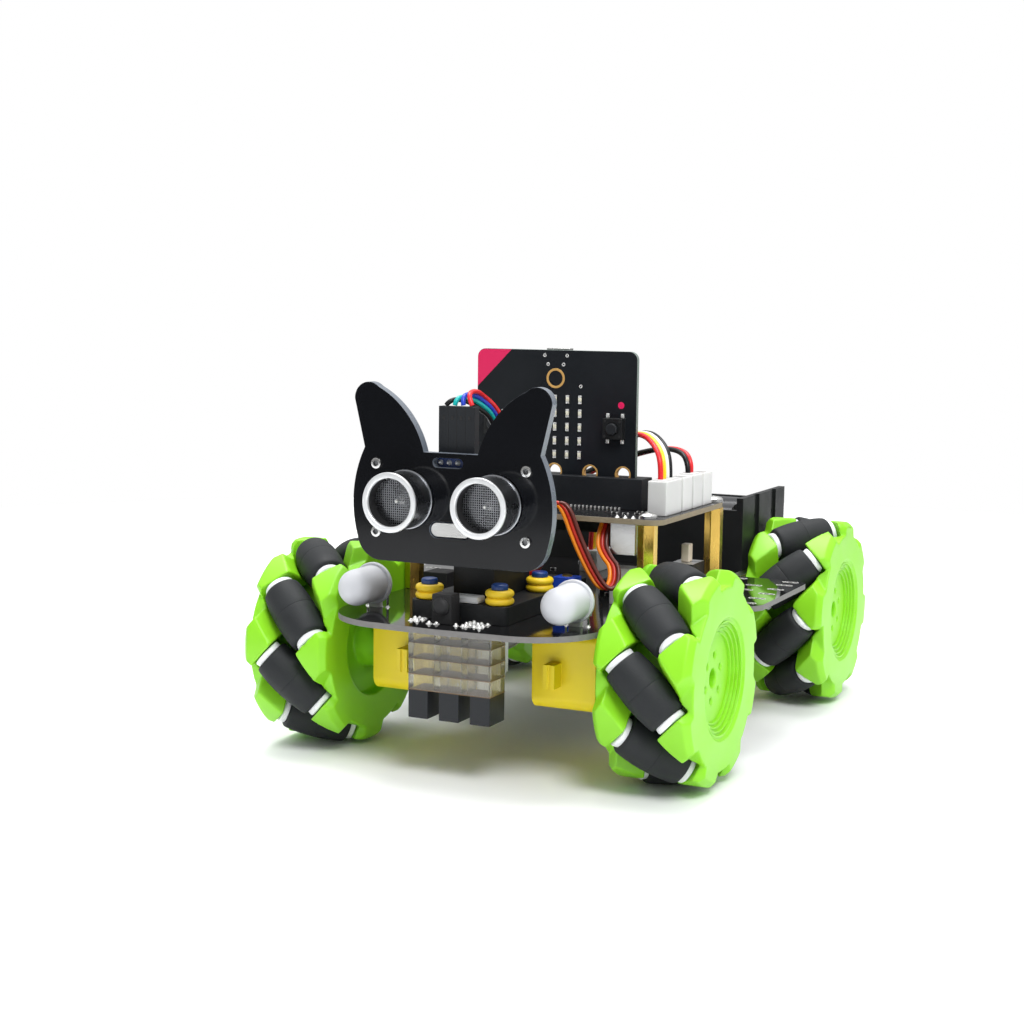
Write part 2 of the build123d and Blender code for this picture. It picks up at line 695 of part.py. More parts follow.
def make_sensor_board():
    """Sensor board behind the panel, its crystal in the mouth slot and its plug behind."""
    with BuildPart() as board:
        with BuildSketch(plane_y(-85.6, 0, EYE_Z)):
            Rectangle(49.0, 24.0)
        extrude(amount=1.6)
        with BuildSketch(plane_y(-85.6)):
            with Locations(*head_screw_places()):
                Circle(0.8)
        extrude(amount=1.6, mode=Mode.SUBTRACT)
    with BuildPart() as crystal:
        with BuildSketch(plane_y(-87.2, 0, 68.6)):
            SlotOverall(11.6, 3.7)
        extrude(amount=2.5)
    header = block((-6.0, 4.9), (-85.6, -83.0), (84.6, 87.0))
    plug = block((-5.9, 4.8), (-85.6, -83.0), (87.0, 101.1))
    chip = block((-16.0, -8.0), (-85.6, -84.2), (72.0, 80.0))
    save("sensor_board", board, crystal, header, plug, chip)


def make_transducers():
    """Two open-fronted cans with a rolled rim and a mesh disc set back inside."""
    cans = []
    for x in (EYE_X, -EYE_X):
        with BuildPart() as can:
            with BuildSketch(Plane(origin=(x, -87.2, EYE_Z), x_dir=(0, -1, 0), z_dir=(1, 0, 0))):
                with BuildLine():
                    front = -87.2 - EYE_FRONT
                    Polyline((0, 0), (0, EYE_RADIUS), (front, EYE_RADIUS), (front, 6.5),
                             (front - 0.8, 6.5), (front - 0.8, 6.9), (6.0, 6.9), (6.0, 0), close=True)
                make_face()
            revolve(axis=Axis((x, -87.2, EYE_Z), (0, 1, 0)))
        cans.append(can)
    save("transducers", *cans)


def make_head_bracket():
    """Bracket from the servo shaft to the sensor board, with the panel's four screws."""
    with BuildPart() as bracket:
        with BuildSketch(plane_z(69.4, 0, -76.0)):
            with Locations((0, 6.0)):
                Circle(7.5)
            with Locations((0, -1.0)):
                Rectangle(15.0, 14.0)
        extrude(amount=2.4)
        with BuildSketch(plane_y(-80.6, 0, 76.0)):
            Rectangle(22.0, 15.6)
        extrude(amount=2.4)
        with BuildSketch(plane_y(-83.0, 0, 74.0)):
            with Locations((-9.5, 0), (9.5, 0)):
                Rectangle(3.0, 8.0)
        extrude(amount=1.2)
        with BuildSketch(plane_z(63.4, 0, PAN_Y)):
            Circle(2.3)
        extrude(amount=6.0)
    screws = []
    for x, z in head_screw_places():
        with BuildPart() as screw:
            with BuildSketch(plane_y(-84.0, x, z)):
                Circle(0.8)
            extrude(amount=6.0)
            with BuildSketch(plane_y(-90.0, x, z)):
                Circle(1.5)
            extrude(amount=0.8)
            with BuildSketch(plane_y(-85.6, x, z)):
                Circle(1.5)
                Circle(0.8, mode=Mode.SUBTRACT)
            extrude(amount=-1.2)
        screws.append(screw)
    save("head_bracket", bracket, *screws)


# ---- leads --------------------------------------------------------------------------
def lead(route, radius):
    """A round lead along straight runs joined by tangent arcs as large as the runs allow."""
    points = [vec(*point) for point in route]
    radii = []
    for before, corner, after in zip(points, points[1:], points[2:]):
        shorter = min((corner - before).length, (after - corner).length)
        turn = radians((corner - before).get_angle(after - corner))
        radii.append(0.45 * shorter / (sin(turn / 2) / cos(turn / 2)))
    start = points[1] - points[0]
    with BuildPart() as made:
        with BuildLine() as path:
            FilletPolyline(*points, radius=radii)
        with BuildSketch(Plane(points[0], z_dir=start)):
            Circle(radius)
        sweep(path=path.wires()[0])
    length = path.wires()[0].length
    print(f"lead {length:.1f} mm, radii {min(radii):.1f} to {max(radii):.1f},"
          f" volume ratio {made.part.volume / (length * 3.14159 * radius**2):.4f}")
    return made


def fanned(route, first, last):
    """A route shifted by one offset at its start and another at its end."""
    steps = len(route) - 1
    shifted = []
    for index, point in enumerate(route):
        share = index / steps
        shift = vec(*first) * (1 - share) + vec(*last) * share
        shifted.append(tuple(vec(*point) + shift))
    return shifted


SENSOR_TO_PAN = [(-0.5, -84.3, 101.35), (-0.5, -84.3, 103.0), (-0.4, -81.6, 103.9), (-0.2, -76.0, 103.2),
                 (0, -70.5, 101.0)]
PAN_TO_DECK = [(0, -69.5, 100.6), (0, -66.0, 99.0), (-0.4, -60.6, 95.2), (-0.9, -54.6, 90.6),
               (-1.5, -47.8, 87.6), (-2.0, -42.0, 84.4), (-2.0, -42.0, 77.75)]


def make_sensor_leads():
    """Four leads that stand on edge where they cross the pan axis."""
    head = []
    body = []
    for index in range(4):
        across = (2.54 * (index - 1.5), 0, 0)
        stacked = (0, 0, 1.4 * (index - 1.5))
        head.append(lead(fanned(SENSOR_TO_PAN, across, stacked), 0.65))
        body.append(lead(fanned(PAN_TO_DECK, stacked, across), 0.65))
    save("sensor_leads_head", *head)
    save("sensor_leads_body", *body)


SERVO_ROUTE = [(2.0, -53.1, 49.5), (2.4, -50.8, 49.9), (6.6, -50.4, 53.4), (9.2, -50.4, 60.0), (11.0, -50.8, 72.8),
               (15.4, -50.8, 73.0), (19.2, -50.8, 63.6), (23.6, -50.8, 55.0), (27.6, -50.6, 49.4),
               (30.0, -49.0, 50.4), (29.4, -46.6, 55.4), (26.0, -45.2, 58.0), (23.2, -43.0, 62.0),
               (24.0, -40.0, 67.5)]


def make_servo_leads():
    """A flat three-way lead that drops beside the servo and turns up under the deck."""
    wires = []
    for index in range(3):
        shift = 1.3 * (index - 1)
        wires.append(lead(fanned(SERVO_ROUTE, (shift, 0, 0), (shift, 0, 0)), 0.62))
    save("servo_leads", *wires)


BRIDGE_ROUTE = [(37.1, 0, 79.3), (37.1, 0, 83.6), (34.8, 2.6, 87.8), (28.6, 8.6, 91.1), (19.5, 18.6, 90.2),
                (9.5, 31.6, 83.2), (1.2, 42.8, 73.6), (-3.0, 48.0, 63.5), (-4.0, 47.0, 56.0), (-4.0, 47.0, 50.5)]
SUPPLY_ROUTE = [(37.1, 0, 79.3), (37.1, 0, 82.0), (34.2, 2.8, 85.2), (26.0, 8.4, 85.6), (11.5, 17.6, 82.0),
                (-7.0, 28.0, 75.2), (-22.0, 35.0, 67.0), (-30.0, 40.0, 58.5), (-31.0, 43.4, 54.0),
                (-31.0, 47.4, 54.0)]


def make_board_leads():
    """Four signal leads down to the base board and two supply leads to the battery holder."""
    wires = []
    middle = span(*SOCKET_Y[0])[0]
    for index in range(4):
        shift = (0, middle + 2.5 * (index - 1.5), 0)
        wires.append(lead(fanned(BRIDGE_ROUTE, shift, shift), 0.75))
    middle = span(*SOCKET_Y[2])[0]
    for index in range(2):
        apart = 2.5 * (index - 0.5)
        wires.append(lead(fanned(SUPPLY_ROUTE, (0, middle + apart, 0), (apart, middle, 0)), 0.75))
    save("board_leads", *wires)


make_wheel("front_left", 1, -1, slant=-1, phase=0)
make_wheel("front_right", -1, -1, slant=-1, phase=25)
make_wheel("rear_left", 1, 1, slant=1, phase=30)
make_wheel("rear_right", -1, 1, slant=1, phase=10)
make_drive()
make_base_board()
make_line_sensor()
make_headlights()
make_base_components()
make_power_switch()
make_standoffs()
make_expansion_board()
make_connectors()
make_controller()
make_button("button_a", -BUTTON_X)
make_button("button_b", BUTTON_X)
make_battery_pack()
make_servo()
make_servo_mount()
make_face_panel()
make_sensor_board()
make_transducers()
make_head_bracket()
make_sensor_leads()
make_servo_leads()
make_board_leads()
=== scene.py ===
"""Looks of the mecanum wheel robot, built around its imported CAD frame.

Shapes are drawn in millimetres and scaled to metres when a piece is finished.
The robot looks along -Y and +X is its left-hand side.
"""
import json
import math
import random

import bmesh
import bpy
from mathutils import Matrix, Vector

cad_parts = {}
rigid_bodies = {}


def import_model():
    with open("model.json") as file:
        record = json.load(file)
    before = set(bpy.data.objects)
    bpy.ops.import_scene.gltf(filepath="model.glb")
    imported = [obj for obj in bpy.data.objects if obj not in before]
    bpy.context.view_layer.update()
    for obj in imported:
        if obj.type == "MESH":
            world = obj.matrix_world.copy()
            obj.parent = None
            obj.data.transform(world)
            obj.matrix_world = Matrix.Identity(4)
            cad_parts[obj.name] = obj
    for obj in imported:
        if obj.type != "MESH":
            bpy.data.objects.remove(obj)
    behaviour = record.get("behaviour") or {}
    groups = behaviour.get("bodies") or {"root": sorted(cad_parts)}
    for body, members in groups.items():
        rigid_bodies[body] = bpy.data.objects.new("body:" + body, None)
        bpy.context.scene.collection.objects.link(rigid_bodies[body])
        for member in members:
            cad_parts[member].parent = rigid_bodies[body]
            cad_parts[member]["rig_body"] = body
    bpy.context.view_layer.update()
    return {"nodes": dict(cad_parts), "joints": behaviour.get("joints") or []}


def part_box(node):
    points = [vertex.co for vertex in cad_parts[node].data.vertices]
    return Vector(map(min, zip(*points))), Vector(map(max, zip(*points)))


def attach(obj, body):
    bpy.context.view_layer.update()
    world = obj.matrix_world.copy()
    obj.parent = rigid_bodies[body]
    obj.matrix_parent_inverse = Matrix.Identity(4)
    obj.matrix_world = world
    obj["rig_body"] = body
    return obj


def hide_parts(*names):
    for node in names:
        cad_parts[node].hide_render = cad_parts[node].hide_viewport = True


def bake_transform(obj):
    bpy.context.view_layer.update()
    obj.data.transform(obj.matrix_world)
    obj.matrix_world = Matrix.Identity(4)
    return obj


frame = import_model()

MM = 0.001

# Places and sizes shared with the CAD part, in millimetres. Those that a node's box gives are read
# from the frame; the others repeat the part's own numbers.
DECK_THICK = 1.6
BOARD_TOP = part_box("base_board")[1].z / MM
DECK_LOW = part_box("expansion_board")[1].z / MM - DECK_THICK
DECK_TOP = DECK_LOW + DECK_THICK
CONTROLLER_FACE = -23.7
PIN_PITCH = 2.54
FACE_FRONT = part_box("face_panel")[0].y / MM
EYE_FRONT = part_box("transducers")[0].y / MM
EYES = (13.0, -13.0)
EYE_Z = 76.2


# ---- finishes -----------------------------------------------------------------------
def finish(name, colour, roughness, metal=0.0, vary=0.06, patch=90, grain=2500, relief=0.05,
           uneven=0.06, coat=0.0, through=0.0, soft=0.0, ior=1.5, stretch=(1, 1, 1)):
    """A procedural surface whose colour, roughness and relief change gently over the object.

    colour is linear RGB. vary and uneven spread the colour and the roughness over broad patches,
    relief is the strength of the fine bumps, through is transmission and soft is subsurface.
    """
    made = bpy.data.materials.new(name)
    made.use_nodes = True
    nodes = made.node_tree.nodes
    links = made.node_tree.links
    shader = nodes["Principled BSDF"]
    shader.inputs["Metallic"].default_value = metal
    shader.inputs["Coat Weight"].default_value = coat
    shader.inputs["Coat Roughness"].default_value = 0.08
    shader.inputs["Transmission Weight"].default_value = through
    shader.inputs["IOR"].default_value = ior
    shader.inputs["Specular IOR Level"].default_value = 0.28 if max(colour) < 0.03 else 0.5
    shader.inputs["Subsurface Weight"].default_value = soft
    shader.inputs["Subsurface Radius"].default_value = (1.0, 1.0, 1.0)
    shader.inputs["Subsurface Scale"].default_value = 0.002

    place = nodes.new("ShaderNodeTexCoord")
    squash = nodes.new("ShaderNodeMapping")
    squash.inputs["Scale"].default_value = stretch
    links.new(place.outputs["Object"], squash.inputs["Vector"])

    broad = nodes.new("ShaderNodeTexNoise")
    broad.inputs["Scale"].default_value = patch
    broad.inputs["Detail"].default_value = 4
    links.new(squash.outputs["Vector"], broad.inputs["Vector"])

    tint = nodes.new("ShaderNodeMix")
    tint.data_type = "RGBA"
    tint.inputs[6].default_value = (*[c * (1 - vary) for c in colour], 1)
    tint.inputs[7].default_value = (*[min(1, c * (1 + vary)) for c in colour], 1)
    links.new(broad.outputs["Fac"], tint.inputs[0])
    links.new(tint.outputs[2], shader.inputs["Base Color"])

    shine = nodes.new("ShaderNodeMapRange")
    shine.inputs["From Min"].default_value = 0.3
    shine.inputs["From Max"].default_value = 0.7
    shine.inputs["To Min"].default_value = max(0.02, roughness - uneven)
    shine.inputs["To Max"].default_value = min(1.0, roughness + uneven)
    links.new(broad.outputs["Fac"], shine.inputs["Value"])
    links.new(shine.outputs["Result"], shader.inputs["Roughness"])

    fine = nodes.new("ShaderNodeTexNoise")
    fine.inputs["Scale"].default_value = grain
    fine.inputs["Detail"].default_value = 3
    links.new(squash.outputs["Vector"], fine.inputs["Vector"])
    bump = nodes.new("ShaderNodeBump")
    bump.inputs["Strength"].default_value = relief
    bump.inputs["Distance"].default_value = 0.0002
    links.new(fine.outputs["Fac"], bump.inputs["Height"])
    links.new(bump.outputs["Normal"], shader.inputs["Normal"])
    return made


LIME = finish("lime_plastic", (0.25, 0.66, 0.012), 0.42, vary=0.07, patch=60, relief=0.10,
              soft=0.12)
RUBBER = finish("charcoal_rubber", (0.018, 0.020, 0.022), 0.62, vary=0.18, patch=160, grain=4000,
                relief=0.35)
NYLON = finish("white_nylon", (0.83, 0.84, 0.86), 0.38, vary=0.03, relief=0.06, soft=0.1)
STEEL = finish("bright_steel", (0.62, 0.62, 0.61), 0.24, metal=1, vary=0.12, grain=5000,
               relief=0.12)
# Dark steel for the motor cans. The same finish also paints shade inside the recesses of bright
# steel screw heads.
DARK_STEEL_AND_RECESS_SHADE = finish("dark_steel_and_recess_shade", (0.17, 0.175, 0.18), 0.33, metal=1, vary=0.3, patch=140,
                    relief=0.15, uneven=0.12)
ALUMINIUM = finish("brushed_aluminium", (0.68, 0.69, 0.70), 0.32, metal=1, vary=0.08, grain=900,
                   relief=0.2, stretch=(1, 8, 1))
BRASS = finish("brass", (0.72, 0.47, 0.11), 0.26, metal=1, vary=0.16, patch=220, grain=1500,
               relief=0.1, stretch=(1, 1, 0.2))
GOLD = finish("gold_plate", (0.72, 0.42, 0.13), 0.40, metal=0.3, vary=0.1, patch=500, relief=0.1)
SOLDER = finish("solder", (0.84, 0.84, 0.82), 0.26, metal=0.5, vary=0.2, patch=900, grain=3000,
                relief=0.5)
YELLOW = finish("yellow_plastic", (0.97, 0.74, 0.008), 0.42, vary=0.05, patch=70, relief=0.10,
                soft=0.1)
GLOSS_BOARD = finish("glossy_black_board", (0.010, 0.010, 0.011), 0.06, vary=0.3, patch=50,
                     grain=220, relief=0.02, uneven=0.03, coat=0.5)
BOARD_EDGE = finish("board_edge", (0.17, 0.165, 0.16), 0.62, vary=0.25, patch=500, relief=0.4)
DECK_FACE = finish("deck_black", (0.014, 0.014, 0.015), 0.25, vary=0.3, patch=60, relief=0.08)
DECK_EDGE = finish("deck_edge", (0.27, 0.22, 0.15), 0.7, vary=0.3, patch=700, relief=0.5,
                   stretch=(1, 1, 3))
CONTROLLER_FINISH = finish("controller_black", (0.010, 0.012, 0.015), 0.30, vary=0.25, patch=50,
                           relief=0.08)
CONTROLLER_EDGE = finish("controller_edge", (0.17, 0.21, 0.19), 0.55, vary=0.2, patch=600,
                         relief=0.3)
ACRYLIC = finish("black_acrylic", (0.004, 0.0045, 0.006), 0.10, vary=0.3, patch=30, grain=150,
                 relief=0.004, uneven=0.03)
ACRYLIC_EDGE = finish("acrylic_edge", (0.13, 0.15, 0.18), 0.30, vary=0.2, patch=300, grain=1800,
                      relief=0.2)
CLEAR = finish("clear_acrylic", (0.93, 0.92, 0.90), 0.05, vary=0.03, grain=600, relief=0.02,
               through=1.0, ior=1.45)
CLEAR_EDGE = finish("clear_acrylic_edge", (0.93, 0.88, 0.80), 0.10, vary=0.20, patch=500, grain=900,
                    relief=0.30, through=0.92, ior=1.4, stretch=(3, 3, 0.15))
LAYER_SEAM = finish("layer_seam", (0.20, 0.125, 0.07), 0.4, vary=0.3, patch=400, relief=0.2)
DIFFUSER = finish("diffuser", (0.56, 0.57, 0.60), 0.48, vary=0.02, patch=60, relief=0.04, soft=0.6)
MATT_BLACK = finish("matt_black_plastic", (0.010, 0.011, 0.012), 0.48, vary=0.2, patch=120,
                    relief=0.22)
SOFT_BLACK = finish("soft_black_plastic", (0.015, 0.017, 0.020), 0.42, vary=0.15, patch=90,
                    relief=0.15)
CHIP_BLACK = finish("chip_black", (0.020, 0.020, 0.021), 0.55, vary=0.15, patch=400, relief=0.3)
SOCKET_WHITE = finish("socket_white", (0.78, 0.78, 0.77), 0.38, vary=0.03, relief=0.05,
                      through=0.15, soft=0.4)
PLUG_CLEAR = finish("plug_clear", (0.86, 0.87, 0.88), 0.25, vary=0.03, relief=0.05, through=0.35,
                    soft=0.2)
TRIMMER_BLUE = finish("trimmer_blue", (0.010, 0.060, 0.48), 0.34, vary=0.12, patch=200, relief=0.1)
CAP_BLUE = finish("cap_blue", (0.008, 0.045, 0.20), 0.34, vary=0.15, patch=300, relief=0.12)
GROMMET_YELLOW = finish("grommet_yellow", (0.90, 0.62, 0.018), 0.44, vary=0.10, patch=300,
                        relief=0.2)
CAN_METAL = finish("can_metal", (0.34, 0.35, 0.37), 0.30, metal=1, vary=0.2, patch=140, relief=0.12)
RIM_METAL = finish("rim_metal", (0.80, 0.81, 0.82), 0.38, metal=0.7, vary=0.08, patch=300,
                   relief=0.15)
SENSOR_BLUE = finish("sensor_blue", (0.008, 0.030, 0.13), 0.25, vary=0.15, patch=200, relief=0.1)
CREAM = finish("cream_plastic", (0.76, 0.66, 0.52), 0.42, vary=0.06, relief=0.1)
PINK = finish("pink_ink", (0.78, 0.012, 0.11), 0.38, vary=0.04, relief=0.05)
LED_CREAM = finish("led_body", (0.78, 0.76, 0.62), 0.3, vary=0.06, patch=700, relief=0.05)
CELL_WRAP = finish("cell_wrap", (0.012, 0.013, 0.016), 0.22, vary=0.12, patch=40, relief=0.05)
WIRE_COLOURS = {
    "black": finish("lead_black", (0.010, 0.010, 0.011), 0.36, relief=0.08),
    "teal": finish("lead_teal", (0.0, 0.42, 0.40), 0.36, relief=0.08),
    "blue": finish("lead_blue", (0.012, 0.05, 0.50), 0.36, relief=0.08),
    "red": finish("lead_red", (0.72, 0.014, 0.020), 0.36, relief=0.08),
    "yellow": finish("lead_yellow", (0.92, 0.64, 0.010), 0.36, relief=0.08),
    "white": finish("lead_white", (0.80, 0.81, 0.82), 0.36, relief=0.08),
    "brown": finish("lead_brown", (0.11, 0.016, 0.010), 0.34, relief=0.08),
    "scarlet": finish("lead_scarlet", (0.52, 0.020, 0.008), 0.34, relief=0.08),
    "orange": finish("lead_orange", (0.90, 0.26, 0.008), 0.34, relief=0.08),
}


# ---- shape tools --------------------------------------------------------------------
class Piece:
    """One visible piece: solids drawn in millimetres, each with its own finish."""

    def __init__(self, name):
        self.name = name
        self.mesh = bmesh.new()
        self.painted = self.mesh.faces.layers.int.new("painted")
        self.finishes = []

    def paint(self, faces, material):
        """Gives faces a finish, and marks them so that paint_new leaves them alone."""
        if material not in self.finishes:
            self.finishes.append(material)
        number = self.finishes.index(material)
        for face in faces:
            face.material_index = number
            face[self.painted] = 1

    def paint_new(self, material):
        """Paints every face that has no finish yet."""
        self.paint([face for face in self.mesh.faces if not face[self.painted]], material)

    def block(self, x, y, z, material, edge=0.0):
        """A box between two limits on each axis, its edges rounded by edge."""
        made = bmesh.ops.create_cube(self.mesh, size=1)["verts"]
        for corner in made:
            corner.co = Vector([low + (high - low) * (side + 0.5)
                                for (low, high), side in zip((x, y, z), corner.co)])
        if edge:
            lines = list({line for corner in made for line in corner.link_edges})
            bmesh.ops.bevel(self.mesh, geom=lines, offset=edge, segments=2, affect="EDGES",
                            profile=0.5)
        self.paint_new(material)

    def sheet(self, outline, front, back, material):
        """An outline drawn in X and Z, raised along Y between two depths."""
        levels = [[self.mesh.verts.new((x, depth, z)) for x, z in outline]
                  for depth in (front, back)]
        faces = [self.mesh.faces.new(levels[0]), self.mesh.faces.new(levels[1])]
        for index in range(len(outline)):
            after = (index + 1) % len(outline)
            faces.append(self.mesh.faces.new((levels[0][index], levels[0][after],
                                              levels[1][after], levels[1][index])))
        bmesh.ops.recalc_face_normals(self.mesh, faces=faces)
        self.paint(faces, material)

    def lathe(self, origin, axis, profile, material, steps=40):
        """A shape turned about an axis from (along, radius) points."""
        turn = Vector(axis).to_track_quat("Z", "Y")
        rings = []
        for along, radius in profile:
            ring = []
            for step in range(steps if radius > 0 else 1):
                angle = 2 * math.pi * step / steps
                point = Vector((radius * math.cos(angle), radius * math.sin(angle), along))
                ring.append(self.mesh.verts.new(Vector(origin) + turn @ point))
            rings.append(ring)
        faces = []
        for near, far in zip(rings, rings[1:]):
            for step in range(steps):
                after = (step + 1) % steps
                corners = [near[step % len(near)], near[after % len(near)],
                           far[after % len(far)], far[step % len(far)]]
                corners = list(dict.fromkeys(corners))
                if len(corners) > 2:
                    faces.append(self.mesh.faces.new(corners))
        bmesh.ops.recalc_face_normals(self.mesh, faces=faces)
        self.paint(faces, material)

    def ring(self, origin, axis, inner, outer, height, material, steps=40):
        """A flat washer standing on origin."""
        edge = min(0.12, height / 3, (outer - inner) / 4)
        section = [(0, inner), (0, outer), (height - edge, outer), (height, outer - edge),
                   (height, inner + edge), (height - edge, inner), (0, inner)]
        self.lathe(origin, axis, section, material, steps)

    def screw(self, origin, axis, radius, height):
        """A socket head screw, with a hexagonal recess whose walls are painted dark as shade."""
        recess = radius * 0.52
        edge = 0.18 * radius
        head = [(0, radius), (height - edge, radius), (height - edge * 0.3, radius - edge * 0.3),
                (height, radius - edge), (height, recess)]
        self.lathe(origin, axis, head, STEEL, 36)
        # The recess walls get the dark finish: painted shade, since the head is bright steel
        # throughout.
        socket = [(height, recess * 1.06), (height * 0.35, recess), (height * 0.3, 0)]
        self.lathe(origin, axis, socket, DARK_STEEL_AND_RECESS_SHADE, 6)

    def shape(self, angle=35):
        """The finished mesh, in metres, smooth except at edges sharper than angle."""
        self.mesh.transform(Matrix.Scale(MM, 4))
        self.mesh.faces.layers.int.remove(self.painted)
        mesh = bpy.data.meshes.new(self.name)
        self.mesh.to_mesh(mesh)
        self.mesh.free()
        for material in self.finishes:
            mesh.materials.append(material)
        soften(mesh, angle)
        return mesh

    def show(self, body, slot, nodes=()):
        return show(self.name, self.shape(), body, slot, nodes)


def soften(mesh, angle):
    """Smooth shading, except at edges sharper than angle, in degrees."""
    for face in mesh.polygons:
        face.use_smooth = True
    mesh.set_sharp_from_angle(angle=math.radians(angle))


def show(name, data, body, slot, nodes=()):
    """Puts a mesh or curve in the scene, riding on a body and standing for CAD nodes."""
    made = bpy.data.objects.new(name, data)
    bpy.context.scene.collection.objects.link(made)
    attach(made, body)
    if nodes:
        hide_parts(*nodes)
    return made


def islands(mesh):
    """The separate solids of a mesh, each as a list of its faces."""
    left = set(mesh.faces)
    while left:
        start = left.pop()
        found = [start]
        queue = [start]
        while queue:
            for edge in queue.pop().edges:
                for face in edge.link_faces:
                    if face in left:
                        left.remove(face)
                        found.append(face)
                        queue.append(face)
        yield found


def limits(faces):
    """Lowest and highest corner of some faces, in millimetres."""
    corners = [vertex.co / MM for face in faces for vertex in face.verts]
    low = Vector([min(corner[axis] for corner in corners) for axis in range(3)])
    high = Vector([max(corner[axis] for corner in corners) for axis in range(3)])
    return low, high


JOIN_WITHIN = 1e-6  # metres
FLAT_WITHIN = math.radians(0.6)


def joined_copy(node):
    """A copy of a CAD node's mesh with its vertices joined and its flat faces merged."""
    mesh = bmesh.new()
    mesh.from_mesh(frame["nodes"][node].data)
    bmesh.ops.remove_doubles(mesh, verts=mesh.verts, dist=JOIN_WITHIN)
    bmesh.ops.dissolve_limit(mesh, angle_limit=FLAT_WITHIN, verts=mesh.verts, edges=mesh.edges)
    return mesh


def dress(node, slot, choose, edge=0.15, segments=2, angle=32):
    """Stands in for a CAD node, with its edges rounded by edge.

    choose(low, high, centre, normal) gives each face's finish, or None to leave the face out: low
    and high are the corners of the face's solid, centre and normal belong to the face itself.
    The choosers below tell the solids of a node apart by their size and place.
    """
    mesh = joined_copy(node)
    finishes = []
    dropped = []
    for solid in islands(mesh):
        low, high = limits(solid)
        for face in solid:
            material = choose(low, high, face.calc_center_median() / MM, face.normal)
            if material is None:
                dropped.append(face)
                continue
            if material not in finishes:
                finishes.append(material)
            face.material_index = finishes.index(material)
    bmesh.ops.delete(mesh, geom=dropped, context="FACES")
    data = bpy.data.meshes.new(node + "_shape")
    mesh.to_mesh(data)
    mesh.free()
    for material in finishes:
        data.materials.append(material)
    soften(data, angle)
    made = show(node + "_shown", data, frame["nodes"][node]["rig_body"], slot, [node])
    if edge:
        bevel = made.modifiers.new("edges", "BEVEL")
        bevel.width = edge * MM
        bevel.segments = segments
        bevel.limit_method = "ANGLE"
        bevel.angle_limit = math.radians(angle)
        bevel.miter_outer = "MITER_ARC"
        level = made.modifiers.new("normals", "WEIGHTED_NORMAL")
        level.keep_sharp = True
    return made


# ---- wheels -------------------------------------------------------------------------
WHEELS = ("front_left", "front_right", "rear_left", "rear_right")
WHEEL_RADIUS = 30.0
ROLLER_CIRCLE = 23.8
SLEEVE_HALF = 9.3
BORE_RADIUS = 1.06


def barrel_radius(along):
    """Radius of a barrel, at 45 degrees to the axle, that rolls on the wheel's own cylinder."""
    return WHEEL_RADIUS - math.sqrt(ROLLER_CIRCLE ** 2 + along ** 2 / 2)


def roller_mesh():
    """A rubber sleeve with a fine seam round its middle, on a white core with end flanges."""
    roller = Piece("roller")
    half = [(0.0, barrel_radius(0) - 0.10), (0.10, barrel_radius(0.1) - 0.03)]
    half += [(along, barrel_radius(along)) for along in (0.3, 2, 4, 6, 8)]
    end = barrel_radius(SLEEVE_HALF)
    half += [(8.75, end + 0.02), (9.1, end - 0.25), (SLEEVE_HALF, end - 0.7), (SLEEVE_HALF, 2.6)]
    sleeve = [(-along, radius) for along, radius in reversed(half)] + half[1:]
    roller.lathe((0, 0, 0), (0, 0, 1), sleeve, RUBBER, 48)
    for toward in (1, -1):
        roller.lathe((0, 0, 0), (0, 0, toward),
                     [(9.2, 2.6), (9.2, 3.9), (9.4, 4.2), (10.5, 4.3), (10.85, 4.15), (11.0, 3.7),
                      (11.0, BORE_RADIUS)], NYLON, 40)
    return roller.shape(50)


def make_rollers():
    """The same roller on each roller joint's place and axis."""
    shared = roller_mesh()
    for joint in frame["joints"]:
        node = joint["child"]
        if not node.startswith("roller_"):
            continue
        turn = Vector(joint["axis"]).to_track_quat("Z", "Y").to_matrix().to_4x4()
        mesh = shared.copy()
        mesh.transform(Matrix.Translation(joint["pos_m"]) @ turn)
        show(node + "_shown", mesh, node, "roller_rubber", [node])


HUB_MOULDING = 50  # only the green moulding of a hub is larger than this; the rest is metal


def make_hubs():
    """Each hub's moulding is remeshed so that its lobes and steps have soft edges."""
    for wheel in WHEELS:
        node = "hub_" + wheel
        body = "wheel_" + wheel
        mesh = joined_copy(node)
        small = []
        for solid in islands(mesh):
            low, high = limits(solid)
            if max(high - low) < HUB_MOULDING:
                small += solid
        metal = mesh.copy()
        numbers = {face.index for face in small}
        bmesh.ops.delete(mesh, geom=small, context="FACES")
        metal.faces.ensure_lookup_table()
        bmesh.ops.delete(metal, geom=[face for face in metal.faces if face.index not in numbers],
                         context="FACES")
        for name, source, material, slot in ((node + "_moulding", mesh, LIME, "hub_plastic"),
                                             (node + "_pins", metal, STEEL, "hub_plastic")):
            data = bpy.data.meshes.new(name)
            source.to_mesh(data)
            source.free()
            data.materials.append(material)
            soften(data, 40)
            made = show(name, data, body, slot, [node])
            if material is LIME:
                remesh = made.modifiers.new("moulding", "REMESH")
                remesh.mode = "VOXEL"
                remesh.voxel_size = 0.34 * MM
                remesh.use_smooth_shade = True
                smooth = made.modifiers.new("soft_edges", "SMOOTH")
                smooth.factor = 0.5
                smooth.iterations = 4
        make_ridges(wheel)


def make_ridges(wheel):
    """Fine moulded rings that stand on the steps of the dish."""
    joint = next(joint for joint in frame["joints"] if joint["child"] == "wheel_" + wheel)
    centre = Vector(joint["pos_m"]) / MM
    side = 1 if centre.x > 0 else -1
    rings = Piece(f"dish_rings_{wheel}")
    for step in range(1, 5):
        radius = 16.4 - 1.05 * step
        face = 13.5 - 0.7 * step
        section = [(face - 0.5, radius - 0.32), (face + 0.10, radius - 0.22), (face + 0.16, radius),
                   (face + 0.10, radius + 0.22), (face - 0.5, radius + 0.32)]
        rings.lathe(centre, (side, 0, 0), section, LIME, 96)
    rings.show("wheel_" + wheel, "hub_plastic")


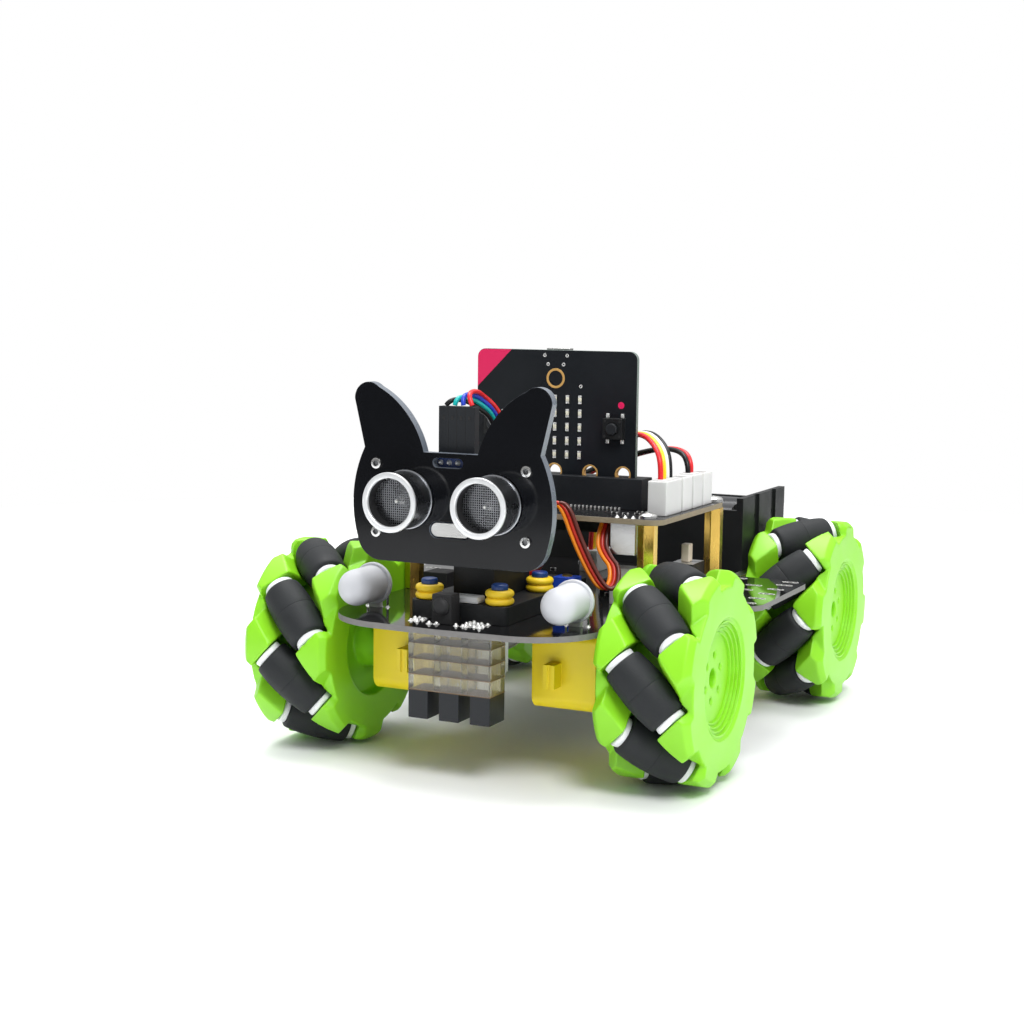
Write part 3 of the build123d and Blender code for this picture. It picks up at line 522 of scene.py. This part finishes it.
# ---- drive and base -----------------------------------------------------------------
def make_drive():
    def motor(low, high, centre, normal):
        wide = high.x - low.x
        if wide > 17:  # gearbox
            return YELLOW
        return DARK_STEEL_AND_RECESS_SHADE if wide > 14 else SOCKET_WHITE  # motor can, then the smaller parts

    dress("gear_motors", "motor_yellow", motor, edge=0.5, segments=3)

    def bracket(low, high, centre, normal):
        return ALUMINIUM if high.z - low.z > 10 else STEEL  # fixing block, then its screws

    dress("motor_brackets", "bracket_aluminium", bracket, edge=0.25)


def make_base_board():
    def board(low, high, centre, normal):
        return GLOSS_BOARD if abs(normal.z) > 0.5 else BOARD_EDGE

    dress("base_board", "board_black", board, edge=0.12, segments=2)
    marks = Piece("board_plating")
    for x in (42.5, 59.0):
        for y in (-18, -9, 0, 9, 18, 24.5):
            slot_rim(marks, x, y)
            slot_rim(marks, -x, y)
    for y in (-13.5, -4.5, 4.5, 13.5):
        slot_rim(marks, 50.8, y)
        slot_rim(marks, -50.8, y)
    for x in (28.0, -28.0):
        marks.ring((x, 91.5, BOARD_TOP), (0, 0, 1), 1.6, 2.7, 0.05, GOLD)
    marks.show("chassis", "board_black")


def slot_rim(piece, x, y):
    """Bright plating round a slot in the board: two bars and a ring at each end."""
    for side in (1, -1):
        piece.block((x - 1.65, x + 1.65), sorted((y + side * 0.65, y + side * 1.0)),
                    (BOARD_TOP, BOARD_TOP + 0.04), SOLDER)
        piece.ring((x + side * 1.65, y, BOARD_TOP), (0, 0, 1), 0.65, 1.0, 0.04, SOLDER, 16)


def solder_joint(piece, x, y, radius, height, top=None):
    """A soldered lead: a shiny fillet that rises round the cut end of a pin."""
    base = BOARD_TOP if top is None else top
    fillet = [(0, radius), (height * 0.12, radius * 0.9), (height * 0.4, radius * 0.55),
              (height * 0.75, radius * 0.42), (height * 0.95, radius * 0.3), (height, 0)]
    piece.lathe((x, y, base), (0, 0, 1), fillet, SOLDER, 14)


def make_solder_joints():
    """The sensor and receiver leads soldered along the front edge of the base board."""
    joints = Piece("solder_joints")
    chance = random.Random(4)
    across, along = 1.9, 2.3
    groups = [(-10.6, 2, -89.6), (-4.4, 2, -91.4), (2.4, 3, -90.8), (7.4, 3, -90.6)]
    for middle, columns, front in groups:
        for column in range(columns):
            for row in range(3):
                x = middle + across * (column - (columns - 1) / 2) + chance.uniform(-0.25, 0.25)
                y = front + along * row + chance.uniform(-0.3, 0.3)
                if -6.0 < x < 2.4 and y > -91.0:  # the receiver stands here
                    continue
                solder_joint(joints, x, y, chance.uniform(0.8, 1.1), chance.uniform(0.6, 0.95))
    joints.show("chassis", "board_black")


def make_line_sensor():
    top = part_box("line_sensor")[1].z / MM
    layer_height = 4.25

    def layer(low, high, centre, normal):
        if high.x - low.x < 8:  # one of the three sensors
            return SOFT_BLACK
        return CLEAR if abs(normal.z) > 0.5 else CLEAR_EDGE

    dress("line_sensor", "clear_acrylic", layer, edge=0.12)
    optics = Piece("line_sensor_optics")
    for level in range(1, 5):
        z = top - layer_height * level
        optics.block((-12.36, 12.36), (-90.16, -81.04), (z - 0.09, z + 0.09), LAYER_SEAM)
    lens = [(0, 1.5), (0.02, 1.5), (0.3, 1.2), (0.42, 0.7), (0.46, 0)]
    for x in (-9.3, 0.0, 9.3):
        for shift in (-2.0, 2.0):
            optics.lathe((x, -85.6 + shift, top - 24.75), (0, 0, -1), lens, SENSOR_BLUE, 24)
    optics.show("chassis", "clear_acrylic")


def make_headlights():
    def light(low, high, centre, normal):
        return SOCKET_WHITE if high.x - low.x < 5 else DIFFUSER  # carrier, then dome

    dress("headlights", "diffuser_white", light, edge=0.2)
    legs = Piece("headlight_legs")
    for x in (30.5, -30.5):
        for shift in (-3.2, -1.1, 1.1, 3.2):
            leg = (x + shift - 0.25, x + shift + 0.25)
            legs.block(leg, (-75.5, -74.9), (BOARD_TOP, 50.2), STEEL, 0.06)
            solder_joint(legs, x + shift, -75.2, 0.75, 0.8)
    legs.show("chassis", "diffuser_white")


def make_base_components():
    def part(low, high, centre, normal):
        middle = (low + high) / 2
        if middle.y < -80:  # infrared receiver
            return CHIP_BLACK
        if middle.x > 33 and middle.y < -45:  # capacitor
            return STEEL if centre.z > BOARD_TOP + 1 else CHIP_BLACK
        if 10 < middle.x < 18 and middle.y < -40:
            return TRIMMER_BLUE
        if 24 < middle.x < 33 and middle.y < -32:
            return SOCKET_WHITE
        if middle.x > 30:  # housing of the power switch
            return ALUMINIUM if normal.z > 0.5 else CHIP_BLACK
        if middle.y > 10:
            return SOCKET_WHITE
        return CHIP_BLACK

    dress("base_components", "component_black", part, edge=0.2)
    small = Piece("small_parts")
    receiver_lens = [(0.0, 2.3), (0.5, 2.05), (0.9, 1.4), (1.05, 0)]
    small.lathe((-1.9, -91.8, 48.4), (0, -1, 0), receiver_lens, CHIP_BLACK, 32)
    trimmer_screw = [(0, 1.5), (0.35, 1.5), (0.45, 1.3), (0.45, 0)]
    small.lathe((14.2, -45.2, 51.5), (0, 0, 1), trimmer_screw, BRASS, 28)
    places = [(24, -68, False), (27, -62, True), (-22, -66, False), (-26, -60, True),
              (20, -55, False), (26, -57, False), (-20, -52, True), (-28, -52, False),
              (6, -36, False), (10, -30, True), (-6, -32, False), (18, -24, False),
              (22, -30, True), (-18, -26, False), (33, -24, False), (34, -18, True),
              (-33, -20, False), (12, 6, False), (18, 10, True), (26, 16, False),
              (-16, 12, False), (-24, 18, True), (16, 28, False), (-14, 30, False)]
    for x, y, turned in places:
        chip_part(small, x, y, BOARD_TOP, turned)
    small.show("chassis", "component_black")


def chip_part(piece, x, y, z, turned=False):
    """A small resistor or capacitor with bright ends, lying along X, or along Y if turned."""
    half_x, half_y = (0.45, 0.8) if turned else (0.8, 0.45)
    piece.block((x - half_x, x + half_x), (y - half_y, y + half_y), (z, z + 0.5), CHIP_BLACK, 0.06)
    for side in (1, -1):
        shift = side * 0.9
        span_x, span_y = (x - 0.5, x + 0.5), sorted((y + shift, y + shift * 0.62))
        if not turned:
            span_x, span_y = sorted((x + shift, x + shift * 0.62)), (y - 0.5, y + 0.5)
        piece.block(span_x, span_y, (z, z + 0.52), SOLDER, 0.08)


# ---- deck ---------------------------------------------------------------------------
def make_standoffs():
    def post(low, high, centre, normal):
        return BRASS if high.z < DECK_LOW + 0.5 else None  # the screws are drawn again below

    dress("standoffs", "brass", post, edge=0.2, angle=25)
    screws = Piece("deck_screws")
    head = [(0, 2.75), (0.9, 2.7), (1.4, 2.2), (1.7, 1.2), (1.75, 0.9), (1.2, 0.7), (1.1, 0)]
    for x, y in ((37.1, -42.0), (39.2, 8.0), (-37.1, -42.0), (-39.2, 8.0)):
        screws.lathe((x, y, DECK_TOP), (0, 0, 1), head, STEEL, 32)
        for turned in (False, True):  # the two bars of a cross recess, drawn as dark blocks: painted shade in the recess
            across = (0.35, 1.8) if turned else (1.8, 0.35)
            screws.block((x - across[0], x + across[0]), (y - across[1], y + across[1]),
                         (DECK_TOP + 1.2, DECK_TOP + 1.56), DARK_STEEL_AND_RECESS_SHADE)
    screws.show("chassis", "brass")


def make_deck():
    def board(low, high, centre, normal):
        if high.x - low.x > 60:  # the board itself
            return DECK_FACE if abs(normal.z) > 0.5 else DECK_EDGE
        return STEEL if low.x > 20 else CHIP_BLACK

    dress("expansion_board", "deck_black", board, edge=0.12)
    pins = Piece("deck_pins")
    socket_pitch = 1.27
    for index in range(40):
        x = -27.0 + socket_pitch * index
        pins.block((x - 0.22, x + 0.22), (-27.9, -27.05), (DECK_TOP, DECK_TOP + 0.75), SOLDER, 0.08)
    for x, y in ((24.6, -36.0), (28.2, -36.6), (31.4, -35.4), (33.2, -31.6), (30.4, -31.0),
                 (-28.0, -36.0), (-24.0, -34.0), (2.0, -36.0), (22.0, -3.0), (14.0, 2.0),
                 (-6.0, 4.0), (-20.0, -6.0)):
        chip_part(pins, x, y, DECK_TOP)
    for x in (28.6, 31.0, 33.4):
        solder_joint(pins, x, -43.8, 0.7, 0.7, DECK_TOP)
    pins.show("chassis", "deck_black")


def make_connectors():
    def part(low, high, centre, normal):
        wide = high.x - low.x
        if wide > 40 or low.y < -40:  # the controller's socket, the sensor leads' plug
            return SOFT_BLACK
        plug = wide < 5 and high.z > 78 and low.z > DECK_TOP + 1
        return PLUG_CLEAR if plug else SOCKET_WHITE

    dress("board_connectors", "socket_white", part, edge=0.22, segments=3)
    details = Piece("socket_details")
    for index in range(4):
        x = -2.0 + PIN_PITCH * (index - 1.5)
        details.block((x - 1.1, x + 1.1), (-43.28, -43.16), (DECK_TOP + 0.5, DECK_TOP + 8.0),
                      SOFT_BLACK, 0.04)
    details.show("chassis", "socket_white")


# ---- controller ---------------------------------------------------------------------
RING_HOLES = (-21.9, -11.5, 0.0, 11.5, 21.9)
RING_Z = 79.0
MATRIX_TOP = 100.4
MATRIX_PITCH = 4.08
BUTTON_X = 19.3
BUTTON_FEET = ((95.5, 96.8), (88.0, 89.3))
BUTTON_DOTS = (90.2, 94.6)


def make_controller():
    def board(low, high, centre, normal):
        wide = high.x - low.x
        if wide < 20:  # chips and plugs; the widest one near the top edge is the metal plug shell
            return STEEL if low.z > 100 and wide > 6.5 else CHIP_BLACK
        near_hole = min(math.hypot(centre.x - x, centre.z - RING_Z) for x in RING_HOLES)
        if near_hole < 2.06:  # the walls of the ring holes
            return GOLD
        if centre.y < CONTROLLER_FACE - 0.1:  # what stands out of the front face
            return MATT_BLACK
        return CONTROLLER_FINISH if abs(normal.y) > 0.5 else CONTROLLER_EDGE

    dress("controller_board", "controller_black", board, edge=0.12)
    face = Piece("controller_face")
    toward = (0, -1, 0)
    for x in RING_HOLES:
        face.ring((x, CONTROLLER_FACE, RING_Z), toward, 2.0, 2.5, 0.05, GOLD)
    face.ring((0, CONTROLLER_FACE, 106.5), toward, 2.25, 2.95, 0.07, GOLD)
    for x in (-8, -4, 0, 4, 8):
        for row in range(5):
            matrix_light(face, x, MATRIX_TOP - MATRIX_PITCH * row)
    for x, z in ((-3.6, 113.2), (3.6, 113.2), (-2.5, 110.6), (2.5, 110.6), (8.1, 104.3)):
        face.ring((x, CONTROLLER_FACE, z), toward, 0.25, 0.55, 0.04, SOLDER, 16)
    for side in (1, -1):
        for shift in (-2.3, 2.3):
            x = side * BUTTON_X + shift
            for foot in BUTTON_FEET:
                face.block((x - 0.5, x + 0.5), (CONTROLLER_FACE - 0.5, CONTROLLER_FACE), foot,
                           SOLDER, 0.15)
            for z in BUTTON_DOTS:
                face.lathe((x, CONTROLLER_FACE - 2.6, z), toward,
                           [(0, 0.4), (0.12, 0.36), (0.14, 0)], CHIP_BLACK, 16)
    pink_corner(face)
    dot = [(0, 1.0), (0.04, 1.0), (0.05, 0.9), (0.05, 0)]
    face.lathe((21.0, CONTROLLER_FACE, 99.2), toward, dot, PINK, 24)
    face.show("chassis", "controller_black")


def matrix_light(piece, x, z):
    """One light of the 5 by 5 matrix: a cream body between two bright pads."""
    y = (CONTROLLER_FACE - 0.45, CONTROLLER_FACE)
    piece.block((x - 0.48, x + 0.48), y, (z - 0.6, z + 0.6), LED_CREAM, 0.08)
    for side in (1, -1):
        piece.block((x - 0.54, x + 0.54), (CONTROLLER_FACE - 0.38, CONTROLLER_FACE),
                    sorted((z + side * 0.58, z + side * 1.25)), SOLDER, 0.14)


def pink_corner(piece):
    """A plain pink corner of the controller, cut off along a diagonal."""
    corner = 2.4
    outline = [(-25.7, 103.5), (-14.5, 114.7)]
    for step in range(6):
        turn = math.pi / 2 * (1 + step / 5)
        outline.append((-23.3 + corner * math.cos(turn), 112.3 + corner * math.sin(turn)))
    piece.sheet(outline, CONTROLLER_FACE - 0.04, CONTROLLER_FACE, PINK)


def all_over(material):
    """A chooser for dress that gives every face the same finish."""
    return lambda low, high, centre, normal: material


def make_buttons():
    for node in ("button_a", "button_b"):
        dress(node, "button_black", all_over(SOFT_BLACK), edge=0.3, segments=3)
    dress("power_switch", "switch_knob", all_over(CREAM), edge=0.3, segments=3)


# ---- battery ------------------------------------------------------------------------
def make_battery():
    def part(low, high, centre, normal):
        if high.y - low.y < 20:  # a cell, with its bare end at +X
            bare = centre.x > 31.5 and abs(normal.x) > 0.5 or centre.x > 32.1
            return STEEL if bare else CELL_WRAP
        return MATT_BLACK

    dress("battery_pack", "holder_black", part, edge=0.3)
    ribs = Piece("holder_ribs")
    low, high = 38.5, 83.5
    for index in range(9):
        y = low + 2.5 + index * (high - low - 5) / 8
        for side in (1, -1):
            ribs.block(sorted((side * 36.1, side * 36.35)), (y - 0.5, y + 0.5),
                       (BOARD_TOP + 19.5, BOARD_TOP + 22.5), MATT_BLACK, 0.1)
    ribs.show("chassis", "holder_black")


# ---- head ---------------------------------------------------------------------------
def make_servo():
    dress("servo", "servo_black", all_over(MATT_BLACK), edge=0.25)

    def mount(low, high, centre, normal):
        if high.x - low.x > 20:
            return MATT_BLACK
        return GROMMET_YELLOW if high.x - low.x > 5.5 else CAP_BLUE  # grommet, then its cap

    dress("servo_mount", "mount_black", mount, edge=0.15)
    arm = Piece("spare_horn")
    arm_low, arm_high = BOARD_TOP + 5.0, BOARD_TOP + 6.9
    arm.block((-5.6, 5.6), (-84.6, -79.8), (arm_low, arm_high), PLUG_CLEAR, 0.5)
    hole = [(0.0, 0.7), (0.03, 0.6), (-0.3, 0.5), (-0.3, 0)]
    for x in (-3.6, 0.0, 3.6):
        arm.lathe((x, -82.2, arm_high), (0, 0, 1), hole, SOFT_BLACK, 20)
    arm.show("chassis", "mount_black")


SCREW_PLACES = [(x, EYE_Z + z) for x in (22.2, -22.2) for z in (9.2, -9.2)]


def make_panel():
    def panel(low, high, centre, normal):
        return ACRYLIC if abs(normal.y) > 0.5 else ACRYLIC_EDGE

    dress("face_panel", "panel_black", panel, edge=0.12)

    def bracket(low, high, centre, normal):
        return MATT_BLACK if high.x - low.x > 5 else None  # the screws are drawn again below

    dress("head_bracket", "head_black", bracket, edge=0.2)
    screws = Piece("panel_screws")
    for x, z in SCREW_PLACES:
        screws.screw((x, FACE_FRONT, z), (0, -1, 0), 1.5, 0.8)
        screws.screw((x, -85.6, z), (0, 1, 0), 1.5, 1.2)
        screws.lathe((x, FACE_FRONT, z), (0, 1, 0), [(0, 0.8), (6, 0.8), (6.1, 0)], STEEL, 20)
    screws.show("head", "head_black")


def make_sensor_board():
    def board(low, high, centre, normal):
        if high.x - low.x > 40:  # the board itself
            return SENSOR_BLUE
        if high.z < 72:  # metal can
            return STEEL
        return SOFT_BLACK if high.z > 84 else CHIP_BLACK  # plug, then chips

    dress("sensor_board", "sensor_blue", board, edge=0.3, segments=3)
    details = Piece("sensor_board_details")
    plug_x = -0.55
    for index in range(4):
        x = plug_x + PIN_PITCH * (index - 1.5)
        solder_joint_forward(details, x, 86.3)
        details.block((x - 0.35, x + 0.35), (-85.72, -85.6), (97.6, 98.6), CHIP_BLACK, 0.05)
    for index in range(3):
        x = plug_x + PIN_PITCH * (index - 1)
        details.block((x - 0.05, x + 0.05), (-85.66, -85.58), (87.4, 100.8), CHIP_BLACK)
    details.show("head", "sensor_blue")


def solder_joint_forward(piece, x, z):
    """A soldered pin on the front of the sensor board, seen through the panel's top slot."""
    fillet = [(0, 0.8), (0.2, 0.7), (0.55, 0.4), (0.9, 0.25), (1.0, 0)]
    piece.lathe((x, -87.2, z), (0, -1, 0), fillet, SOLDER, 14)


def make_transducers():
    """Two dark cans with a bright rolled rim and a woven mesh set back inside."""
    back = FACE_FRONT + 2.8
    depth = back - EYE_FRONT
    toward = (0, -1, 0)
    for number, x in enumerate(EYES, 1):
        can = Piece(f"transducer_{number}")
        origin = (x, back, EYE_Z)
        can.lathe(origin, toward, [(0, 7.6), (2.9, 7.6), (2.95, 7.95), (3.5, 7.95), (3.6, 7.7),
                                   (depth - 1.3, 7.62), (depth - 0.9, 7.75)], CAN_METAL, 72)
        can.lathe(origin, toward, [(depth - 1.1, 7.7), (depth - 0.7, 7.97), (depth - 0.25, 7.97),
                                   (depth - 0.04, 7.85), (depth, 7.6), (depth - 0.03, 6.7),
                                   (depth - 0.25, 6.45), (depth - 0.9, 6.4)], RIM_METAL, 72)
        can.lathe(origin, toward, [(depth - 0.85, 6.6), (4.0, 6.5), (4.0, 0)], CHIP_BLACK, 72)
        can.lathe(origin, toward, [(4.05, 4.6), (5.0, 3.6), (6.4, 1.6), (6.9, 1.0), (7.0, 0)],
                  STEEL, 48)
        can.lathe(origin, toward, [(8.0, 0.55), (8.6, 0.5), (8.8, 0.3), (8.85, 0)], SOLDER, 20)
        woven_mesh(can, x, back - 8.3)
        can.show("head", "can_grey", ["transducers"])


def woven_mesh(piece, x, y):
    """A disc of crossed wires that pass over and under each other."""
    pitch = 0.62
    reach = 6.45
    count = int(reach / pitch)
    for index in range(-count, count + 1):
        offset = index * pitch
        half = math.sqrt(max(0.0, reach ** 2 - offset ** 2))
        if half < 0.5:
            continue
        for along_x in (True, False):
            strand(piece, (x, y, EYE_Z), offset, half, along_x, pitch, index)


def strand(piece, centre, offset, half, along_x, pitch, index):
    """One wavy wire of the mesh, square in section."""
    thick = 0.085
    steps = max(2, int(2 * half / pitch) + 1)
    rings = []
    for step in range(steps):
        along = -half + 2 * half * step / (steps - 1)
        over = 0.07 if (step + index + along_x) % 2 else -0.07
        ring = []
        for side, lift in ((-1, -1), (1, -1), (1, 1), (-1, 1)):
            across = offset + side * thick
            u, v = (along, across) if along_x else (across, along)
            ring.append(piece.mesh.verts.new((centre[0] + u, centre[1] + over + lift * thick,
                                              centre[2] + v)))
        rings.append(ring)
    faces = []
    for near, far in zip(rings, rings[1:]):
        for side in range(4):
            after = (side + 1) % 4
            faces.append(piece.mesh.faces.new((near[side], near[after], far[after], far[side])))
    bmesh.ops.recalc_face_normals(piece.mesh, faces=faces)
    piece.paint(faces, CAN_METAL)


# ---- leads --------------------------------------------------------------------------
DECK_LEAD_RADIUS = 0.75
SERVO_LEAD_RADIUS = 0.64
SENSOR_LEAD_RADIUS = 0.65
DECK_LEAD_PITCH = 2.5
SERVO_LEAD_PITCH = 1.3
SENSOR_LEAD_STACK = 1.4
# Each route's control points, in millimetres, from one plug or socket to the other.
SENSOR_ROUTE = [(-0.5, -84.3, 101.35), (-0.5, -84.3, 103.0), (-0.4, -81.6, 103.9),
                (-0.2, -76.0, 103.2), (0, -70.0, 100.8), (0, -66.0, 99.0), (-0.4, -60.6, 95.2),
                (-0.9, -54.6, 90.6), (-1.5, -47.8, 87.6), (-2.0, -42.0, 84.4), (-2.0, -42.0, 77.75)]
SERVO_ROUTE = [(2.0, -53.1, 49.5), (2.4, -50.8, 49.9), (6.6, -50.4, 53.4), (9.2, -50.4, 60.0),
               (11.0, -50.8, 72.8), (15.4, -50.8, 73.0), (19.2, -50.8, 63.6), (23.6, -50.8, 55.0),
               (27.6, -50.6, 49.4), (30.0, -49.0, 50.4), (29.4, -46.6, 55.4), (26.0, -45.2, 58.0),
               (23.2, -43.0, 62.0), (24.0, -40.0, 67.5)]
SIGNAL_ROUTE = [(37.1, 0, 79.3), (37.1, 0, 83.6), (34.8, 2.6, 87.8), (28.6, 8.6, 91.1),
                (19.5, 18.6, 90.2), (9.5, 31.6, 83.2), (1.2, 42.8, 73.6), (-3.0, 48.0, 63.5),
                (-4.0, 47.0, 56.0), (-4.0, 47.0, 50.5)]
SUPPLY_ROUTE = [(37.1, 0, 79.3), (37.1, 0, 82.0), (34.2, 2.8, 85.2), (26.0, 8.4, 85.6),
                (11.5, 17.6, 82.0), (-7.0, 28.0, 75.2), (-22.0, 35.0, 67.0), (-30.0, 40.0, 58.5),
                (-31.0, 43.4, 54.0), (-31.0, 47.4, 54.0)]


def fanned(route, first, last):
    """A route shifted by one offset at its start and another at its end."""
    steps = len(route) - 1
    return [Vector(point) + Vector(first).lerp(Vector(last), index / steps)
            for index, point in enumerate(route)]


def wire_curve(name, route, radius, colour):
    """A round lead along a route; it starts and ends on the route's first and last points."""
    curve = bpy.data.curves.new(name, "CURVE")
    curve.dimensions = "3D"
    spline = curve.splines.new("NURBS")
    spline.points.add(len(route) - 1)
    for point, place in zip(spline.points, route):
        point.co = (*(Vector(place) * MM), 1)
    spline.order_u = 3
    spline.use_endpoint_u = True
    spline.resolution_u = 14
    curve.bevel_depth = radius * MM
    curve.bevel_resolution = 5
    curve.use_fill_caps = True
    curve.materials.append(WIRE_COLOURS[colour])
    return curve


def make_deck_leads():
    for index, colour in enumerate(("red", "yellow", "white", "black")):
        shift = (0, -29.0 + DECK_LEAD_PITCH * (index - 1.5), 0)
        route = fanned(SIGNAL_ROUTE, shift, shift)
        curve = wire_curve(f"signal_lead_{index + 1}", route, DECK_LEAD_RADIUS, colour)
        show(curve.name, curve, "chassis", "lead_insulation", ["board_leads"])
    for index, colour in enumerate(("black", "red")):
        apart = DECK_LEAD_PITCH * (index - 0.5)
        route = fanned(SUPPLY_ROUTE, (0, -8.9 + apart, 0), (apart, -8.9, 0))
        curve = wire_curve(f"supply_lead_{index + 1}", route, DECK_LEAD_RADIUS, colour)
        show(curve.name, curve, "chassis", "lead_insulation", ["board_leads"])


def make_servo_leads():
    for index, colour in enumerate(("orange", "scarlet", "brown")):
        shift = (SERVO_LEAD_PITCH * (index - 1), 0, 0)
        route = fanned(SERVO_ROUTE, shift, shift)
        curve = wire_curve(f"servo_lead_{index + 1}", route, SERVO_LEAD_RADIUS, colour)
        show(curve.name, curve, "chassis", "lead_insulation", ["servo_leads"])


def make_sensor_leads():
    """Four leads that cross the pan axis, running from the head down to the chassis.

    They lie side by side at both plugs, and one above the other where they cross the axis.
    """
    crossing = 4
    last = len(SENSOR_ROUTE) - 1
    for index, colour in enumerate(("black", "teal", "blue", "red")):
        across = Vector((PIN_PITCH * (index - 1.5), 0, 0))
        stacked = Vector((0, 0, SENSOR_LEAD_STACK * (index - 1.5)))
        route = []
        for step, point in enumerate(SENSOR_ROUTE):
            away = abs(step - crossing) / (crossing if step < crossing else last - crossing)
            route.append(Vector(point) + stacked.lerp(across, away))
        name = f"sensor_lead_{index + 1}"
        line = wire_curve(name, route, SENSOR_LEAD_RADIUS, colour)
        curve = bpy.data.objects.new(name + "_line", line)
        bpy.context.scene.collection.objects.link(curve)
        mesh = bpy.data.meshes.new_from_object(curve)
        bpy.data.objects.remove(curve)
        made = bpy.data.objects.new(name, mesh)
        bpy.context.scene.collection.objects.link(made)
        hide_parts("sensor_leads_head", "sensor_leads_body")
        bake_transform(made)


# ---- studio -------------------------------------------------------------------------
def make_floor():
    """A pale round sheet, lit bright enough to run into the white background."""
    bpy.ops.mesh.primitive_circle_add(vertices=96, radius=0.62, fill_type="NGON",
                                      location=(0, 0, -0.0001))
    floor = bpy.context.object
    floor.name = "studio_floor"
    floor.data.materials.append(finish("floor_white", (0.93, 0.94, 0.95), 0.7, vary=0.01, patch=2,
                                       grain=60, relief=0.01))


def area_light(name, place, target, size, power):
    """A round soft light at place, facing target; sizes in metres, power in watts."""
    data = bpy.data.lights.new(name, "AREA")
    data.shape = "DISK"
    data.size = size
    data.energy = power
    made = bpy.data.objects.new(name, data)
    made.location = place
    made.rotation_euler = (Vector(target) - Vector(place)).to_track_quat("-Z", "Y").to_euler()
    bpy.context.scene.collection.objects.link(made)


def make_lights():
    """White surroundings, brighter above and behind than in front, and two soft lights.

    The camera itself sees plain white.
    """
    world = bpy.data.worlds.new("studio")
    world.use_nodes = True
    nodes = world.node_tree.nodes
    links = world.node_tree.links
    direction = nodes.new("ShaderNodeTexCoord")
    split = nodes.new("ShaderNodeSeparateXYZ")
    links.new(direction.outputs["Generated"], split.inputs["Vector"])
    height = nodes.new("ShaderNodeMapRange")
    for name, value in (("From Min", 0.0), ("From Max", 0.8), ("To Min", 0.30), ("To Max", 1.25)):
        height.inputs[name].default_value = value
    links.new(split.outputs["Z"], height.inputs["Value"])
    front = nodes.new("ShaderNodeMapRange")
    for name, value in (("From Min", -1.0), ("From Max", 0.0), ("To Min", 0.5), ("To Max", 1.0)):
        front.inputs[name].default_value = value
    links.new(split.outputs["Y"], front.inputs["Value"])
    surroundings = nodes.new("ShaderNodeMath")
    surroundings.operation = "MULTIPLY"
    links.new(height.outputs["Result"], surroundings.inputs[0])
    links.new(front.outputs["Result"], surroundings.inputs[1])
    seen = nodes.new("ShaderNodeLightPath")
    strength = nodes.new("ShaderNodeMix")
    strength.inputs["B"].default_value = 1.0
    links.new(seen.outputs["Is Camera Ray"], strength.inputs["Factor"])
    links.new(surroundings.outputs["Value"], strength.inputs["A"])
    background = nodes["Background"]
    background.inputs["Color"].default_value = (1.0, 1.0, 1.0, 1)
    links.new(strength.outputs["Result"], background.inputs["Strength"])
    bpy.context.scene.world = world
    middle = (0, 0, 0.05)
    area_light("key", (0.6, -0.7, 1.1), middle, 0.5, 11)
    area_light("top", (-0.2, 0.2, 1.3), middle, 0.9, 13)
    bpy.context.scene.view_settings.view_transform = "Standard"


def make_camera():
    """The camera's place and angle, fitted to the object's measured outline."""
    place = (0.2110, -0.4914, 0.1282)
    yaw = math.radians(25.67)
    pitch = math.radians(-6.85)
    roll = math.radians(0.67)
    forward = Vector((-math.sin(yaw) * math.cos(pitch), math.cos(yaw) * math.cos(pitch),
                      math.sin(pitch)))
    level = Vector((math.cos(yaw), math.sin(yaw), 0))
    upright = level.cross(forward)
    right = level * math.cos(roll) + upright * math.sin(roll)
    up = right.cross(forward)
    data = bpy.data.cameras.new("camera")
    data.lens = 60.97
    data.sensor_width = 36
    data.clip_start = 0.01
    made = bpy.data.objects.new("camera", data)
    turned = Matrix((right, up, -forward)).transposed()
    made.matrix_world = Matrix.Translation(place) @ turned.to_4x4()
    bpy.context.scene.collection.objects.link(made)
    bpy.context.scene.camera = made


make_hubs()
make_rollers()
make_drive()
make_base_board()
make_solder_joints()
make_line_sensor()
make_headlights()
make_base_components()
make_standoffs()
make_deck()
make_connectors()
make_controller()
make_buttons()
make_battery()
make_servo()
make_panel()
make_sensor_board()
make_transducers()
make_deck_leads()
make_servo_leads()
make_sensor_leads()
make_floor()
make_lights()
make_camera()
